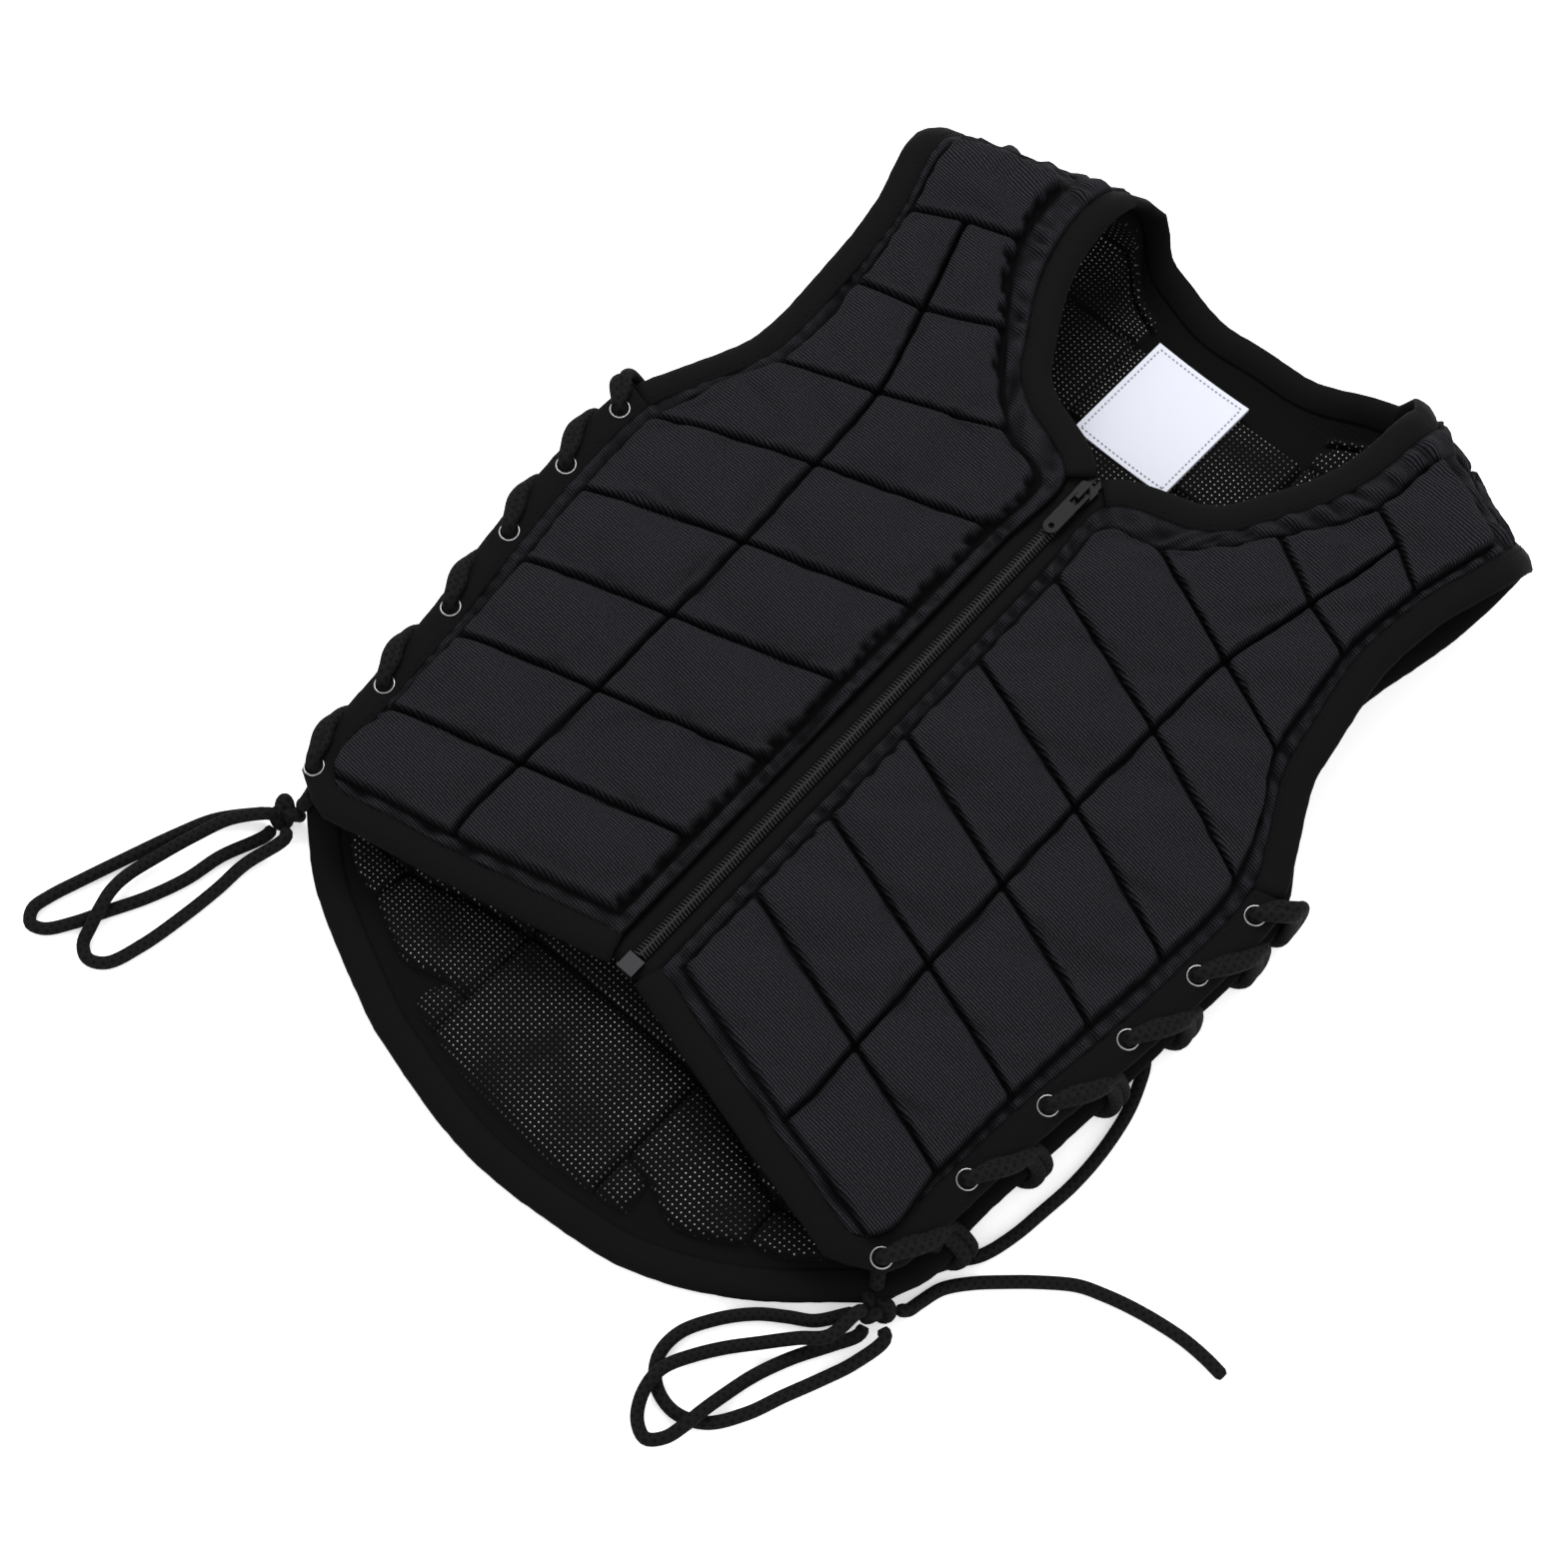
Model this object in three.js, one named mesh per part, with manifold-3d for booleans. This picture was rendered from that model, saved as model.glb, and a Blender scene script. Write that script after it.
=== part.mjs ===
// A child's equestrian body protector, lying on its back with the front closed and up.
//
// Millimetres. +X is the wearer's left, +Y runs from the hem to the neck, +Z is up.
// The panels are laid out in a flat pattern: x across, s along the panel from the foot of the zip.
// Two surfaces carry that pattern into space: the front, which lies on top, and the back, which
// lies on the ground and rolls up over the shoulders until it meets the front at the shoulder seam.
// The origin is the bottom centre of the protector, its loose cords not counted.
import * as THREE from 'three';
import { mergeVertices } from 'three/addons/utils/BufferGeometryUtils.js';
import Module from 'manifold-3d';

const wasm = await Module();
wasm.setup();

// Driving sizes of the whole
const HALF_WIDTH = 170;
const BODY_LENGTH = 400;
const HEM_HEIGHT = 35;
const SHOULDER_ROLL = 29;
const ROLL_START = 0.955 * BODY_LENGTH;
const ROLL_SLANT = 0.355;
const STRAP_INNER = 76;
const SEAM_ARC = 26;
const SIDE_DROP = 7;
const SIDE_DROP_START = 0.6;
const SIDE_DROP_FADE = 150;
const BACK_EDGE_LIFT = 7;
const BACK_CURL_START = 0.66;
const BACK_CURL_END = 0.9;
const BACK_CURL_FOOT = -60;
const BACK_CURL_FADE = 50;
const BACK_CURL_TOP_FADE = 80;

// Padding: cloth between the blocks, foam blocks proud of it on both faces
const CLOTH = 3;
const FRONT_BLOCK_RISE = 6.5;
const FRONT_LINING_RISE = 4;
const BACK_BLOCK_RISE = 3.5;
const BACK_LINING_RISE = 5;
const GROOVE = 5.5;
const BLOCK_BEVEL = 2.5;

// Binding tape
const BINDING = 12;
const SIDE_BINDING = 14;
const BINDING_THICKNESS = 3.8;
const BINDING_ROUND = 1.2;
const FIT_GAP = 0.3;

// Zip
const COIL_WIDTH = 6;
const COIL_HEIGHT = 3;
const COIL_CROWN = 0.7;
const TAPE_WIDTH = 11.4;
const TAPE_THICKNESS = 1;
const TAPE_SPLIT = 0.8;
const STOP_LENGTH = 8;
const STOP_WIDTH = 8;
const STOP_HEIGHT = 4.2;
const ZIP_TOP = 0.71 * BODY_LENGTH;
const SLIDER_LENGTH = 12;
const SLIDER_WIDTH = 8.6;
const SLIDER_HEIGHT = 3.1;
const SLIDER_TAPER = 0.75;
const SLIDER_CORNER = 1;
const BRIDGE_LENGTH = 7.4;
const BRIDGE_WIDTH = 2;
const BRIDGE_BAR = 1.1;
const BRIDGE_POST = 1.3;
const PULL_CLEAR = 1.25;
const PULL_THICKNESS = 1.2;
const PULL_WIDTH = 7;
const PULL_LENGTH = 24;
const PULL_EYE_BAR = 1.6;
const PULL_WINDOW_WIDTH = 3.6;
const PULL_WINDOW_LENGTH = 5.6;
const PULL_HOLE = 2.6;
const TOP_STOP_LENGTH = 4;
const TOP_STOP_WIDTH = 2.4;
const TOP_STOP_HEIGHT = 1.5;

// Eyelets and lacing
const EYELET_BORE = 6.8;
const EYELET_WALL = 0.5;
const EYELET_RIM = 9.5;
const EYELET_RIM_THICKNESS = 0.6;
const EYELET_INSET = 8;
const EYELET_SEAT_GAP = 0.25;
const EYELET_SEGMENTS = 8;
const LACE = 5.5;
const LACE_RISE = 22;
const LACE_SIDES = 6;
const CORD_STEP = 2.2;
const KNOT_SIZE = [16, 16, 12];
const KNOT_LEAD = 4;
const LACE_PORT = [-0.41, 0.51, 0.75];

// Label
const LABEL_WIDTH = 50;
const LABEL_LENGTH = 58;
const LABEL_THICKNESS = 0.8;
const LABEL_OFFSET = -13.4;
const LABEL_FOOT = 0.8025 * BODY_LENGTH;

const BINDING_HALF = BINDING_THICKNESS / 2;
const CLOTH_HALF = CLOTH / 2;
const BACK_LEVEL = CLOTH_HALF + BACK_BLOCK_RISE;
const SHOULDER_HEIGHT = BACK_LEVEL + 2 * SHOULDER_ROLL;

const material = (color, roughness, metalness = 0) =>
  new THREE.MeshStandardMaterial({ color, roughness, metalness });
const fabric = material(0x26262b, 0.95);
const tape = material(0x171717, 0.9);
const zipPlastic = material(0x1c1c1e, 0.5);
const darkMetal = material(0x2e2f31, 0.35, 0.9);
const eyeletMetal = material(0x8a8c90, 0.3, 1);
const cordCloth = material(0x141414, 0.95);
const labelCloth = material(0xeef0fb, 0.85);

// Front pattern, one row for each line across the panel, from hem to shoulder.
// Each pair is x as a share of HALF_WIDTH and s as a share of BODY_LENGTH.
// edge: where the cloth ends, end: where blocks end, groove: between blocks, shape: no groove.
const FRONT_LINES = [
  // kind, zip or neck edge, inner block end, middle groove, outer block end, side or armhole edge
  ['edge', [0.04, 0.025], [0.095, 0.02], [0.52, -0.025], [0.8, -0.05], [0.865, -0.035]],
  ['end', [0.04, 0.045], [0.095, 0.04], [0.53, -0.01], [0.845, -0.04], [0.87, -0.025]],
  ['groove', [0.04, 0.145], [0.095, 0.145], [0.535, 0.09], [0.865, 0.05], [0.885, 0.045]],
  ['groove', [0.04, 0.255], [0.095, 0.255], [0.53, 0.2], [0.875, 0.155], [0.905, 0.15]],
  ['groove', [0.04, 0.37], [0.095, 0.37], [0.53, 0.31], [0.895, 0.26], [0.94, 0.255]],
  ['groove', [0.04, 0.48], [0.095, 0.48], [0.53, 0.42], [0.92, 0.36], [0.965, 0.355]],
  ['groove', [0.04, 0.6], [0.09, 0.6], [0.54, 0.535], [0.92, 0.47], [0.965, 0.48]],
  ['shape', [0.04, 0.705], [0.07, 0.68], [0.545, 0.59], [0.86, 0.54], [0.91, 0.53]],
  ['groove', [0.265, 0.74], [0.225, 0.695], [0.555, 0.64], [0.785, 0.6], [0.83, 0.6]],
  ['groove', [0.39, 0.8], [0.435, 0.785], [0.62, 0.745], [0.785, 0.725], [0.82, 0.73]],
  ['groove', [0.485, 0.88], [0.57, 0.875], [0.695, 0.855], [0.82, 0.825], [0.845, 0.825]],
  ['end', [0.515, 0.96], [0.595, 0.96], [0.735, 0.945], [0.875, 0.92], [0.905, 0.915]],
];
const FRONT_COLUMNS = ['edge', 'end', 'groove', 'end', 'edge'];
const FRONT_SHOULDER_ROW = 10;
const FRONT_UNDERARM_ROW = 6;
const FRONT_COLLAR_ROW = 7;

// Back pattern, from the tail to the shoulder, in the same shares.
const BACK_LINES = [
  // kind, centre line, spine groove, neck, flank corner,
  // then side groove, outer block end, side or armhole edge
  ['edge', [0, -0.2], [0.275, -0.19], [0.38, -0.18], [0.49, -0.165],
    [0.65, -0.13], [0.78, -0.085], [0.825, -0.06]],
  ['end', [0, -0.19], [0.275, -0.18], [0.37, -0.17], [0.48, -0.15],
    [0.635, -0.115], [0.77, -0.075], [0.835, -0.045]],
  ['groove', [0, -0.115], [0.275, -0.115], [0.36, -0.12], [0.45, -0.13],
    [0.62, -0.1], [0.775, -0.06], [0.84, -0.02]],
  ['groove', [0, -0.015], [0.275, -0.018], [0.36, -0.025], [0.45, -0.035],
    [0.61, -0.055], [0.79, -0.025], [0.85, 0.015]],
  ['groove', [0, 0.12], [0.275, 0.115], [0.36, 0.11], [0.45, 0.1],
    [0.61, 0.08], [0.815, 0.05], [0.86, 0.05]],
  ['groove', [0, 0.26], [0.275, 0.255], [0.36, 0.25], [0.45, 0.24],
    [0.61, 0.22], [0.835, 0.185], [0.88, 0.18]],
  ['groove', [0, 0.4], [0.275, 0.395], [0.36, 0.39], [0.45, 0.38],
    [0.61, 0.36], [0.85, 0.325], [0.9, 0.32]],
  ['groove', [0, 0.54], [0.275, 0.535], [0.36, 0.53], [0.45, 0.52],
    [0.61, 0.5], [0.84, 0.475], [0.9, 0.51]],
  ['shape', [0, 0.6], [0.275, 0.595], [0.36, 0.59], [0.45, 0.58],
    [0.61, 0.56], [0.79, 0.54], [0.845, 0.56]],
  ['groove', [0, 0.68], [0.275, 0.675], [0.36, 0.67], [0.45, 0.66],
    [0.6, 0.64], [0.745, 0.605], [0.79, 0.605]],
  ['groove', [0, 0.82], [0.275, 0.815], [0.36, 0.81], [0.45, 0.805],
    [0.6, 0.79], [0.735, 0.745], [0.775, 0.745]],
  ['groove', [0, 0.935], [0.275, 0.935], [0.36, 0.933], [0.45, 0.93],
    [0.62, 0.915], [0.78, 0.875], [0.82, 0.87]],
  ['shape', [0, 0.95], [0.27, 0.96], [0.362, 0.97], [0.455, 0.98],
    [0.625, 0.965], [0.79, 0.93], [0.84, 0.925]],
  ['groove', [0, 0.965], [0.265, 0.98], [0.367, 1.005], [0.47, 1.03],
    [0.63, 1.015], [0.795, 0.98], [0.865, 0.975]],
  ['end', [0, 0.988], [0.265, 1.003], [0.39, 1.03], [0.49, 1.08],
    [0.645, 1.065], [0.8, 1.03], [0.885, 1.025]],
  ['edge', [0, 1], [0.27, 1.018], [0.405, 1.045], [0.515, 1.1],
    [0.65, 1.08], [0.8, 1.05], [0.905, 1.02]],
];
const BACK_COLUMNS = ['shape', 'groove', 'shape', 'shape', 'groove', 'end', 'edge'];
const BACK_TAIL_ROW = 1;
const BACK_NECK_ROW = 11;
const BACK_UNDERARM_ROW = 7;
const NECK_COLUMNS = 4;

// Knots of the two bows, beside the bottom corners of the back
const KNOTS = { left: [161, -29.5, 9.5], right: [-160.4, -35, 7.5] };

// Loose cords of the bows, lying on the ground. from and to point out of the knot where a cord
// leaves it and comes back; points are the route between.
const CORDS = [
  {
    name: 'bow_right_a',
    knot: 'right',
    from: [-0.75, -0.6, -0.25],
    points: [[-182, -56, 3.2], [-189, -72, 3], [-196, -92, 3], [-202, -110, 3], [-207, -126, 3],
      [-208, -134, 3], [-204, -139, 3], [-198, -137, 3], [-191, -127, 3], [-185, -115, 3],
      [-177, -99, 3], [-171, -82, 3], [-168, -66, 3.2]],
    to: [0, -1, -0.35],
  },
  {
    name: 'bow_right_b',
    knot: 'right',
    from: [-0.2, -0.6, 0.9],
    points: [[-173, -54, 13.5], [-180, -68, 9.5], [-186, -84, 6], [-189, -98, 6], [-187.5, -108, 9.2],
      [-185, -116, 9.8], [-183, -124, 6.8], [-181, -131, 3.2], [-175, -134, 3], [-168, -130, 3],
      [-163, -115, 3], [-160, -95, 3], [-158.5, -77, 3], [-158, -62, 3.5]],
    to: [0.7, -0.7, 0.2],
  },
  {
    name: 'bow_left_a',
    knot: 'left',
    from: [-0.6, -0.78, -0.2],
    points: [[146, -48, 4.5], [137, -53.5, 3], [127, -61, 3], [117, -73, 3], [110, -87, 3],
      [110.5, -99, 3], [118, -108, 3], [130, -111, 3], [142, -106, 3], [151, -93, 3],
      [157, -78, 3], [163, -64, 3], [168.5, -50, 4]],
    to: [0.85, -0.5, -0.2],
  },
  {
    name: 'bow_left_b',
    knot: 'left',
    from: [-0.2, -0.6, 0.9],
    points: [[156, -51, 14], [147, -59, 10.5], [137, -69, 6.5], [127, -80, 4], [120, -91, 4.5],
      [116.5, -101, 8.5], [116, -108, 9.4], [117.5, -116, 6.5], [122, -123, 3.2], [129, -126, 3],
      [135, -121, 5.5], [138, -113, 9.2], [139, -105, 8.8], [140, -94, 4.5], [143, -80, 3],
      [149, -65, 3], [157, -51, 4]],
    to: [0.15, -0.95, -0.25],
  },
  {
    name: 'cord_end_left',
    knot: 'left',
    from: [0.75, 0.65, -0.25],
    points: [[171, -15, 4], [173.5, -5, 3], [180, 4, 3], [190, 14, 3], [200, 23, 3], [212, 32, 3],
      [222, 36, 3], [232, 39, 3], [244, 41.5, 3], [256, 43, 3], [267, 43, 3], [277, 42, 3]],
  },
  {
    name: 'cord_strand_left',
    knot: 'left',
    points: [[158, 127, 3], [165, 126, 3], [171, 121, 3], [176, 111, 3], [180, 99, 3], [183, 80, 3],
      [183.5, 62, 3], [182, 46, 3], [180, 30, 3], [176, 16, 3], [169, 6, 3], [164, -4, 4],
      [161.5, -12, 7]],
    to: [0, 0.95, 0.15],
  },
];

// Eyelets of the front edge, from hem to underarm, s as a share of BODY_LENGTH
const EYELET_STATIONS = [-0.045, 0.0675, 0.175, 0.2775, 0.3725, 0.4575];
const TOP_LACE_RISE = 12;

const smooth = (t) => {
  const k = Math.min(Math.max(t, 0), 1);
  return k * k * (3 - 2 * k);
};

function rollStart(x) {
  return ROLL_START - ROLL_SLANT * Math.max(Math.abs(x) - STRAP_INNER, 0);
}

function backSurface(x, s) {
  const start = rollStart(x);
  const share = Math.abs(x) / HALF_WIDTH - BACK_CURL_START;
  const curl = smooth(share / (BACK_CURL_END - BACK_CURL_START));
  const foot = smooth((s - BACK_CURL_FOOT) / BACK_CURL_FADE);
  const top = smooth((start - s) / BACK_CURL_TOP_FADE);
  const level = BACK_LEVEL + BACK_EDGE_LIFT * curl * foot * top;
  if (s <= start) return new THREE.Vector3(x, s, level);
  const turn = (s - start) / SHOULDER_ROLL;
  const y = start + SHOULDER_ROLL * Math.sin(turn);
  return new THREE.Vector3(x, y, BACK_LEVEL + SHOULDER_ROLL * (1 - Math.cos(turn)));
}

function frontSurface(x, s) {
  const start = rollStart(x);
  const rise = Math.min(s / start, 1);
  const share = (Math.abs(x) / HALF_WIDTH - SIDE_DROP_START) / (1 - SIDE_DROP_START);
  const drop = SIDE_DROP * smooth(share) * smooth((start - s) / SIDE_DROP_FADE);
  const level = HEM_HEIGHT + (SHOULDER_HEIGHT - HEM_HEIGHT) * rise - drop;
  if (s <= start) return new THREE.Vector3(x, s, level);
  const turn = (s - start) / SHOULDER_ROLL;
  const y = start + SHOULDER_ROLL * Math.sin(turn);
  return new THREE.Vector3(x, y, SHOULDER_HEIGHT - SHOULDER_ROLL * (1 - Math.cos(turn)));
}

// Away from the wearer's body, square to the surface
function outward(surface, x, s) {
  const step = 0.5;
  const across = surface(x + step, s).sub(surface(x - step, s));
  const along = surface(x, s + step).sub(surface(x, s - step));
  const normal = across.cross(along).normalize();
  return surface === frontSurface ? normal : normal.negate();
}

function lifted(surface, x, s, lift) {
  return surface(x, s).addScaledVector(outward(surface, x, s), lift);
}

// Closed solids

function closedGeometry(positions, triangles) {
  const geometry = new THREE.BufferGeometry();
  geometry.setAttribute('position', new THREE.Float32BufferAttribute(positions, 3));
  geometry.setIndex(facingOut(positions, triangles));
  return geometry;
}

function facingOut(positions, triangles) {
  const corner = (i) => new THREE.Vector3().fromArray(positions, 3 * i);
  let volume = 0;
  for (let i = 0; i < triangles.length; i += 3) {
    const [a, b, c] = [0, 1, 2].map((k) => corner(triangles[i + k]));
    volume += a.dot(b.cross(c));
  }
  if (volume > 0) return triangles;
  const turned = [];
  for (let i = 0; i < triangles.length; i += 3) {
    turned.push(triangles[i], triangles[i + 2], triangles[i + 1]);
  }
  return turned;
}

// A solid between two grids of points with the same rows and columns
function sheetSolid(top, bottom) {
  const rows = top.length;
  const columns = top[0].length;
  const positions = [];
  for (const grid of [top, bottom]) {
    for (const row of grid) {
      for (const p of row) positions.push(p.x, p.y, p.z);
    }
  }
  const under = rows * columns;
  const triangles = [];
  const quad = (a, b, c, d) => triangles.push(a, b, c, a, c, d);
  for (let i = 0; i + 1 < rows; i++) {
    for (let j = 0; j + 1 < columns; j++) {
      const a = i * columns + j;
      quad(a, a + 1, a + 1 + columns, a + columns);
      quad(under + a, under + a + columns, under + a + 1 + columns, under + a + 1);
    }
  }
  const wall = (a, b) => quad(b, a, under + a, under + b);
  for (let j = 0; j + 1 < columns; j++) {
    wall(j, j + 1);
    wall((rows - 1) * columns + j + 1, (rows - 1) * columns + j);
  }
  for (let i = 0; i + 1 < rows; i++) {
    wall((i + 1) * columns, i * columns);
    wall((i + 1) * columns - 1, (i + 2) * columns - 1);
  }
  return closedGeometry(positions, triangles);
}

// A solid through closed rings of points, with flat ends
function ringSolid(rings) {
  const count = rings[0].length;
  const positions = rings.flat().flatMap((p) => [p.x, p.y, p.z]);
  const triangles = [];
  for (let i = 0; i + 1 < rings.length; i++) {
    for (let j = 0; j < count; j++) {
      const a = i * count + j;
      const b = i * count + ((j + 1) % count);
      triangles.push(a, b, b + count, a, b + count, a + count);
    }
  }
  const last = (rings.length - 1) * count;
  for (let j = 1; j + 1 < count; j++) {
    triangles.push(0, j + 1, j);
    triangles.push(last, last + j, last + j + 1);
  }
  return closedGeometry(positions, triangles);
}

function bare(geometry) {
  const copy = geometry.clone();
  copy.deleteAttribute('normal');
  copy.deleteAttribute('uv');
  return mergeVertices(copy, 1e-4);
}

function toSolid(geometry) {
  const clean = bare(geometry);
  return new wasm.Manifold(new wasm.Mesh({
    numProp: 3,
    vertProperties: new Float32Array(clean.attributes.position.array),
    triVerts: new Uint32Array(clean.index.array),
  }));
}

function fromSolid(solid) {
  const mesh = solid.getMesh();
  const geometry = new THREE.BufferGeometry();
  geometry.setAttribute('position', new THREE.BufferAttribute(mesh.vertProperties, 3));
  geometry.setIndex(new THREE.BufferAttribute(mesh.triVerts, 1));
  return geometry;
}

function cut(geometry, cutters) {
  return fromSolid(cutters.reduce((solid, c) => solid.subtract(toSolid(c)), toSolid(geometry)));
}

function join(...pieces) {
  return fromSolid(pieces.map(toSolid).reduce((a, b) => a.add(b)));
}

function polygon(sides, radius) {
  const shape = new THREE.Shape();
  for (let i = 0; i < sides; i++) {
    const angle = ((i + 0.5) * 2 * Math.PI) / sides;
    const method = i === 0 ? 'moveTo' : 'lineTo';
    shape[method](radius * Math.cos(angle), radius * Math.sin(angle));
  }
  shape.closePath();
  return shape;
}

function tube(points, diameter, steps, sides = 8) {
  const path = new THREE.CatmullRomCurve3(points, false, 'centripetal');
  const section = polygon(sides, diameter / 2);
  return bare(new THREE.ExtrudeGeometry(section, { steps, bevelEnabled: false, extrudePath: path }));
}

// Quilted panels

// Stations across a pattern: each gives the two lines it lies between, how far from one of them
// in millimetres, and whether the foam is at its full height there.
function stations(kinds) {
  const list = [];
  kinds.forEach((kind, i) => {
    const firstBlock = kinds[i - 1] === 'edge';
    if (kind === 'edge' || kind === 'shape') {
      const next = i + 1 < kinds.length ? i + 1 : i - 1;
      list.push({ at: i, toward: next, by: 0, full: kind === 'shape', line: i });
    }
    if (kind === 'end' && firstBlock) {
      list.push({ at: i, toward: i + 1, by: 0, full: false, line: i });
      list.push({ at: i, toward: i + 1, by: BLOCK_BEVEL, full: true, line: i });
    }
    if (kind === 'end' && !firstBlock) {
      list.push({ at: i, toward: i - 1, by: BLOCK_BEVEL, full: true, line: i });
      list.push({ at: i, toward: i - 1, by: 0, full: false, line: i });
    }
    if (kind === 'groove') {
      list.push({ at: i, toward: i - 1, by: GROOVE / 2, full: true, line: i });
      list.push({ at: i, toward: i + 1, by: 0, full: false, groove: true, line: i });
      list.push({ at: i, toward: i + 1, by: GROOVE / 2, full: true, line: i });
    }
  });
  return list;
}

function between(a, b, distance) {
  const share = Math.min(distance / Math.max(a.distanceTo(b), 1e-6), 0.4);
  return a.clone().lerp(b, share);
}

// The pattern point at one station across and one along
function patternPoint(lines, across, along) {
  const onLine = (line) => between(line[across.at], line[across.toward], across.by);
  return between(onLine(lines[along.at]), onLine(lines[along.toward]), along.by);
}

const toPattern = (rows) => rows.map((row) =>
  row.slice(1).map(([x, s]) => new THREE.Vector2(x * HALF_WIDTH, s * BODY_LENGTH)));

// filled(across, along) says where a groove is left out or a block is missing
function panelGrid(lines, lineKinds, columnKinds, mirror, height) {
  const columns = stations(columnKinds);
  const grid = stations(lineKinds).map((along) => columns.map((across) => {
    const p = patternPoint(lines, across, along);
    return { x: p.x, s: p.y, full: height(across, along) };
  }));
  if (!mirror) return grid;
  return grid.map((row) => {
    const left = row.slice(1).reverse().map((p) => ({ ...p, x: -p.x }));
    return [...left, ...row];
  });
}

function panelSolid(grid, surface, side, rise, liningRise) {
  const level = (lift, extra, sign) => grid.map((row) => row.map((p) =>
    lifted(surface, side * p.x, p.s, sign * (lift + extra * p.full))));
  return sheetSolid(level(CLOTH_HALF, rise, 1), level(CLOTH_HALF, liningRise, -1));
}

function frontGrid() {
  const lines = toPattern(FRONT_LINES);
  const seam = lines[lines.length - 1].map((p) =>
    new THREE.Vector2(p.x, rollStart(p.x) + SEAM_ARC - FIT_GAP / 2));
  const kinds = [...FRONT_LINES.map((row) => row[0]), 'edge'];
  const height = (across, along) => {
    const wholeBlock = across.groove && along.full && along.line >= FRONT_SHOULDER_ROW
      && !(along.line === FRONT_SHOULDER_ROW && along.toward < along.at);
    return (across.full || wholeBlock) && along.full ? 1 : 0;
  };
  return panelGrid([...lines, seam], kinds, FRONT_COLUMNS, false, height);
}

function backGrid() {
  const lines = toPattern(BACK_LINES);
  const top = lines[lines.length - 1];
  for (let i = NECK_COLUMNS - 1; i < top.length; i++) {
    top[i].y = rollStart(top[i].x) + Math.PI * SHOULDER_ROLL - SEAM_ARC - FIT_GAP / 2;
  }
  const height = (across, along) => {
    const spine = across.line === 0 || (across.line === 1 && across.toward === 0);
    const tail = along.line === BACK_TAIL_ROW || (along.line === 2 && along.toward === 1);
    if (tail && across.line >= NECK_COLUMNS - 1) return 0;
    if (spine && along.line === 2) return 1;
    if (spine && along.line > BACK_NECK_ROW) return 0;
    if (spine && along.line === BACK_NECK_ROW && along.toward > along.at) return 0;
    return across.full && along.full ? 1 : 0;
  };
  return panelGrid(lines, BACK_LINES.map((row) => row[0]), BACK_COLUMNS, true, height);
}

// Binding tape: a rounded strip that starts FIT_GAP outside the cloth's edge

function bindingSection(width) {
  const h = BINDING_HALF;
  const r = BINDING_ROUND;
  return [[FIT_GAP, CLOTH_HALF], [width - r, h], [width, h - r],
    [width, r - h], [width - r, -h], [FIT_GAP, -CLOTH_HALF]];
}

// run: points of the pattern in order, each with its surface and the tape's width there. The first
// and last point only aim the ends, so that two tapes meet in one plane at a corner.
// turn: +1 when the tape lies to the right of the run as seen from outside, -1 to the left.
function bindingSolid(run, turn) {
  const centre = run.map((p) => p.surface(p.x, p.s));
  const rings = [];
  for (let i = 1; i + 1 < run.length; i++) {
    const back = new THREE.Vector3().subVectors(centre[i], centre[i - 1]).normalize();
    const ahead = new THREE.Vector3().subVectors(centre[i + 1], centre[i]).normalize();
    const normal = outward(run[i].surface, run[i].x, run[i].s);
    const along = back.clone().add(ahead).normalize();
    const side = along.clone().cross(normal).normalize();
    const reach = 1 / Math.max(Math.sqrt((1 + back.dot(ahead)) / 2), 0.75);
    const nudge = (i === 1 ? 1 : 0) - (i + 2 === run.length ? 1 : 0);
    const start = centre[i].clone().addScaledVector(along, (nudge * FIT_GAP) / 2);
    rings.push(bindingSection(run[i].width).map(([out, lift]) =>
      start.clone().addScaledVector(side, turn * reach * out).addScaledVector(normal, lift)));
  }
  return ringSolid(rings);
}

const mirrored = (run) => run.map((p) => ({ ...p, x: -p.x }));

// Cords

// A tube through the points themselves, for tight turns
function threadedTube(points, diameter, sides) {
  const rings = [];
  let across = new THREE.Vector3(0, 1, 0);
  points.forEach((p, i) => {
    const before = points[Math.max(i - 1, 0)];
    const after = points[Math.min(i + 1, points.length - 1)];
    const along = new THREE.Vector3().subVectors(after, before).normalize();
    across = across.clone().addScaledVector(along, -across.dot(along)).normalize();
    const up = along.clone().cross(across);
    const ring = [];
    for (let k = 0; k < sides; k++) {
      const angle = (2 * Math.PI * k) / sides;
      ring.push(p.clone()
        .addScaledVector(across, (diameter / 2) * Math.cos(angle))
        .addScaledVector(up, (diameter / 2) * Math.sin(angle)));
    }
    rings.push(ring);
  });
  return ringSolid(rings);
}

// Where a cord meets a knot, square to it: the end, then a point further out
function knotPort(knot, direction) {
  const n = new THREE.Vector3(...direction).normalize();
  const size = new THREE.Vector3(...KNOT_SIZE).multiplyScalar(0.5);
  const square = size.clone().multiply(size);
  const reach = Math.sqrt(n.clone().multiply(n).multiply(square).dot(new THREE.Vector3(1, 1, 1)));
  const end = n.clone().multiply(square).divideScalar(reach);
  end.add(new THREE.Vector3(...knot)).addScaledVector(n, FIT_GAP);
  return [end, end.clone().addScaledVector(n, KNOT_LEAD)];
}

const group = new THREE.Group();
const cordGroup = new THREE.Group();
group.add(cordGroup);

function add(name, geometry, finish, parent = group) {
  const mesh = new THREE.Mesh(geometry, finish);
  mesh.name = name;
  parent.add(mesh);
  return mesh;
}

const front = frontGrid();
const back = backGrid();
const SIDES = [['left', 1], ['right', -1]];

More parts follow.
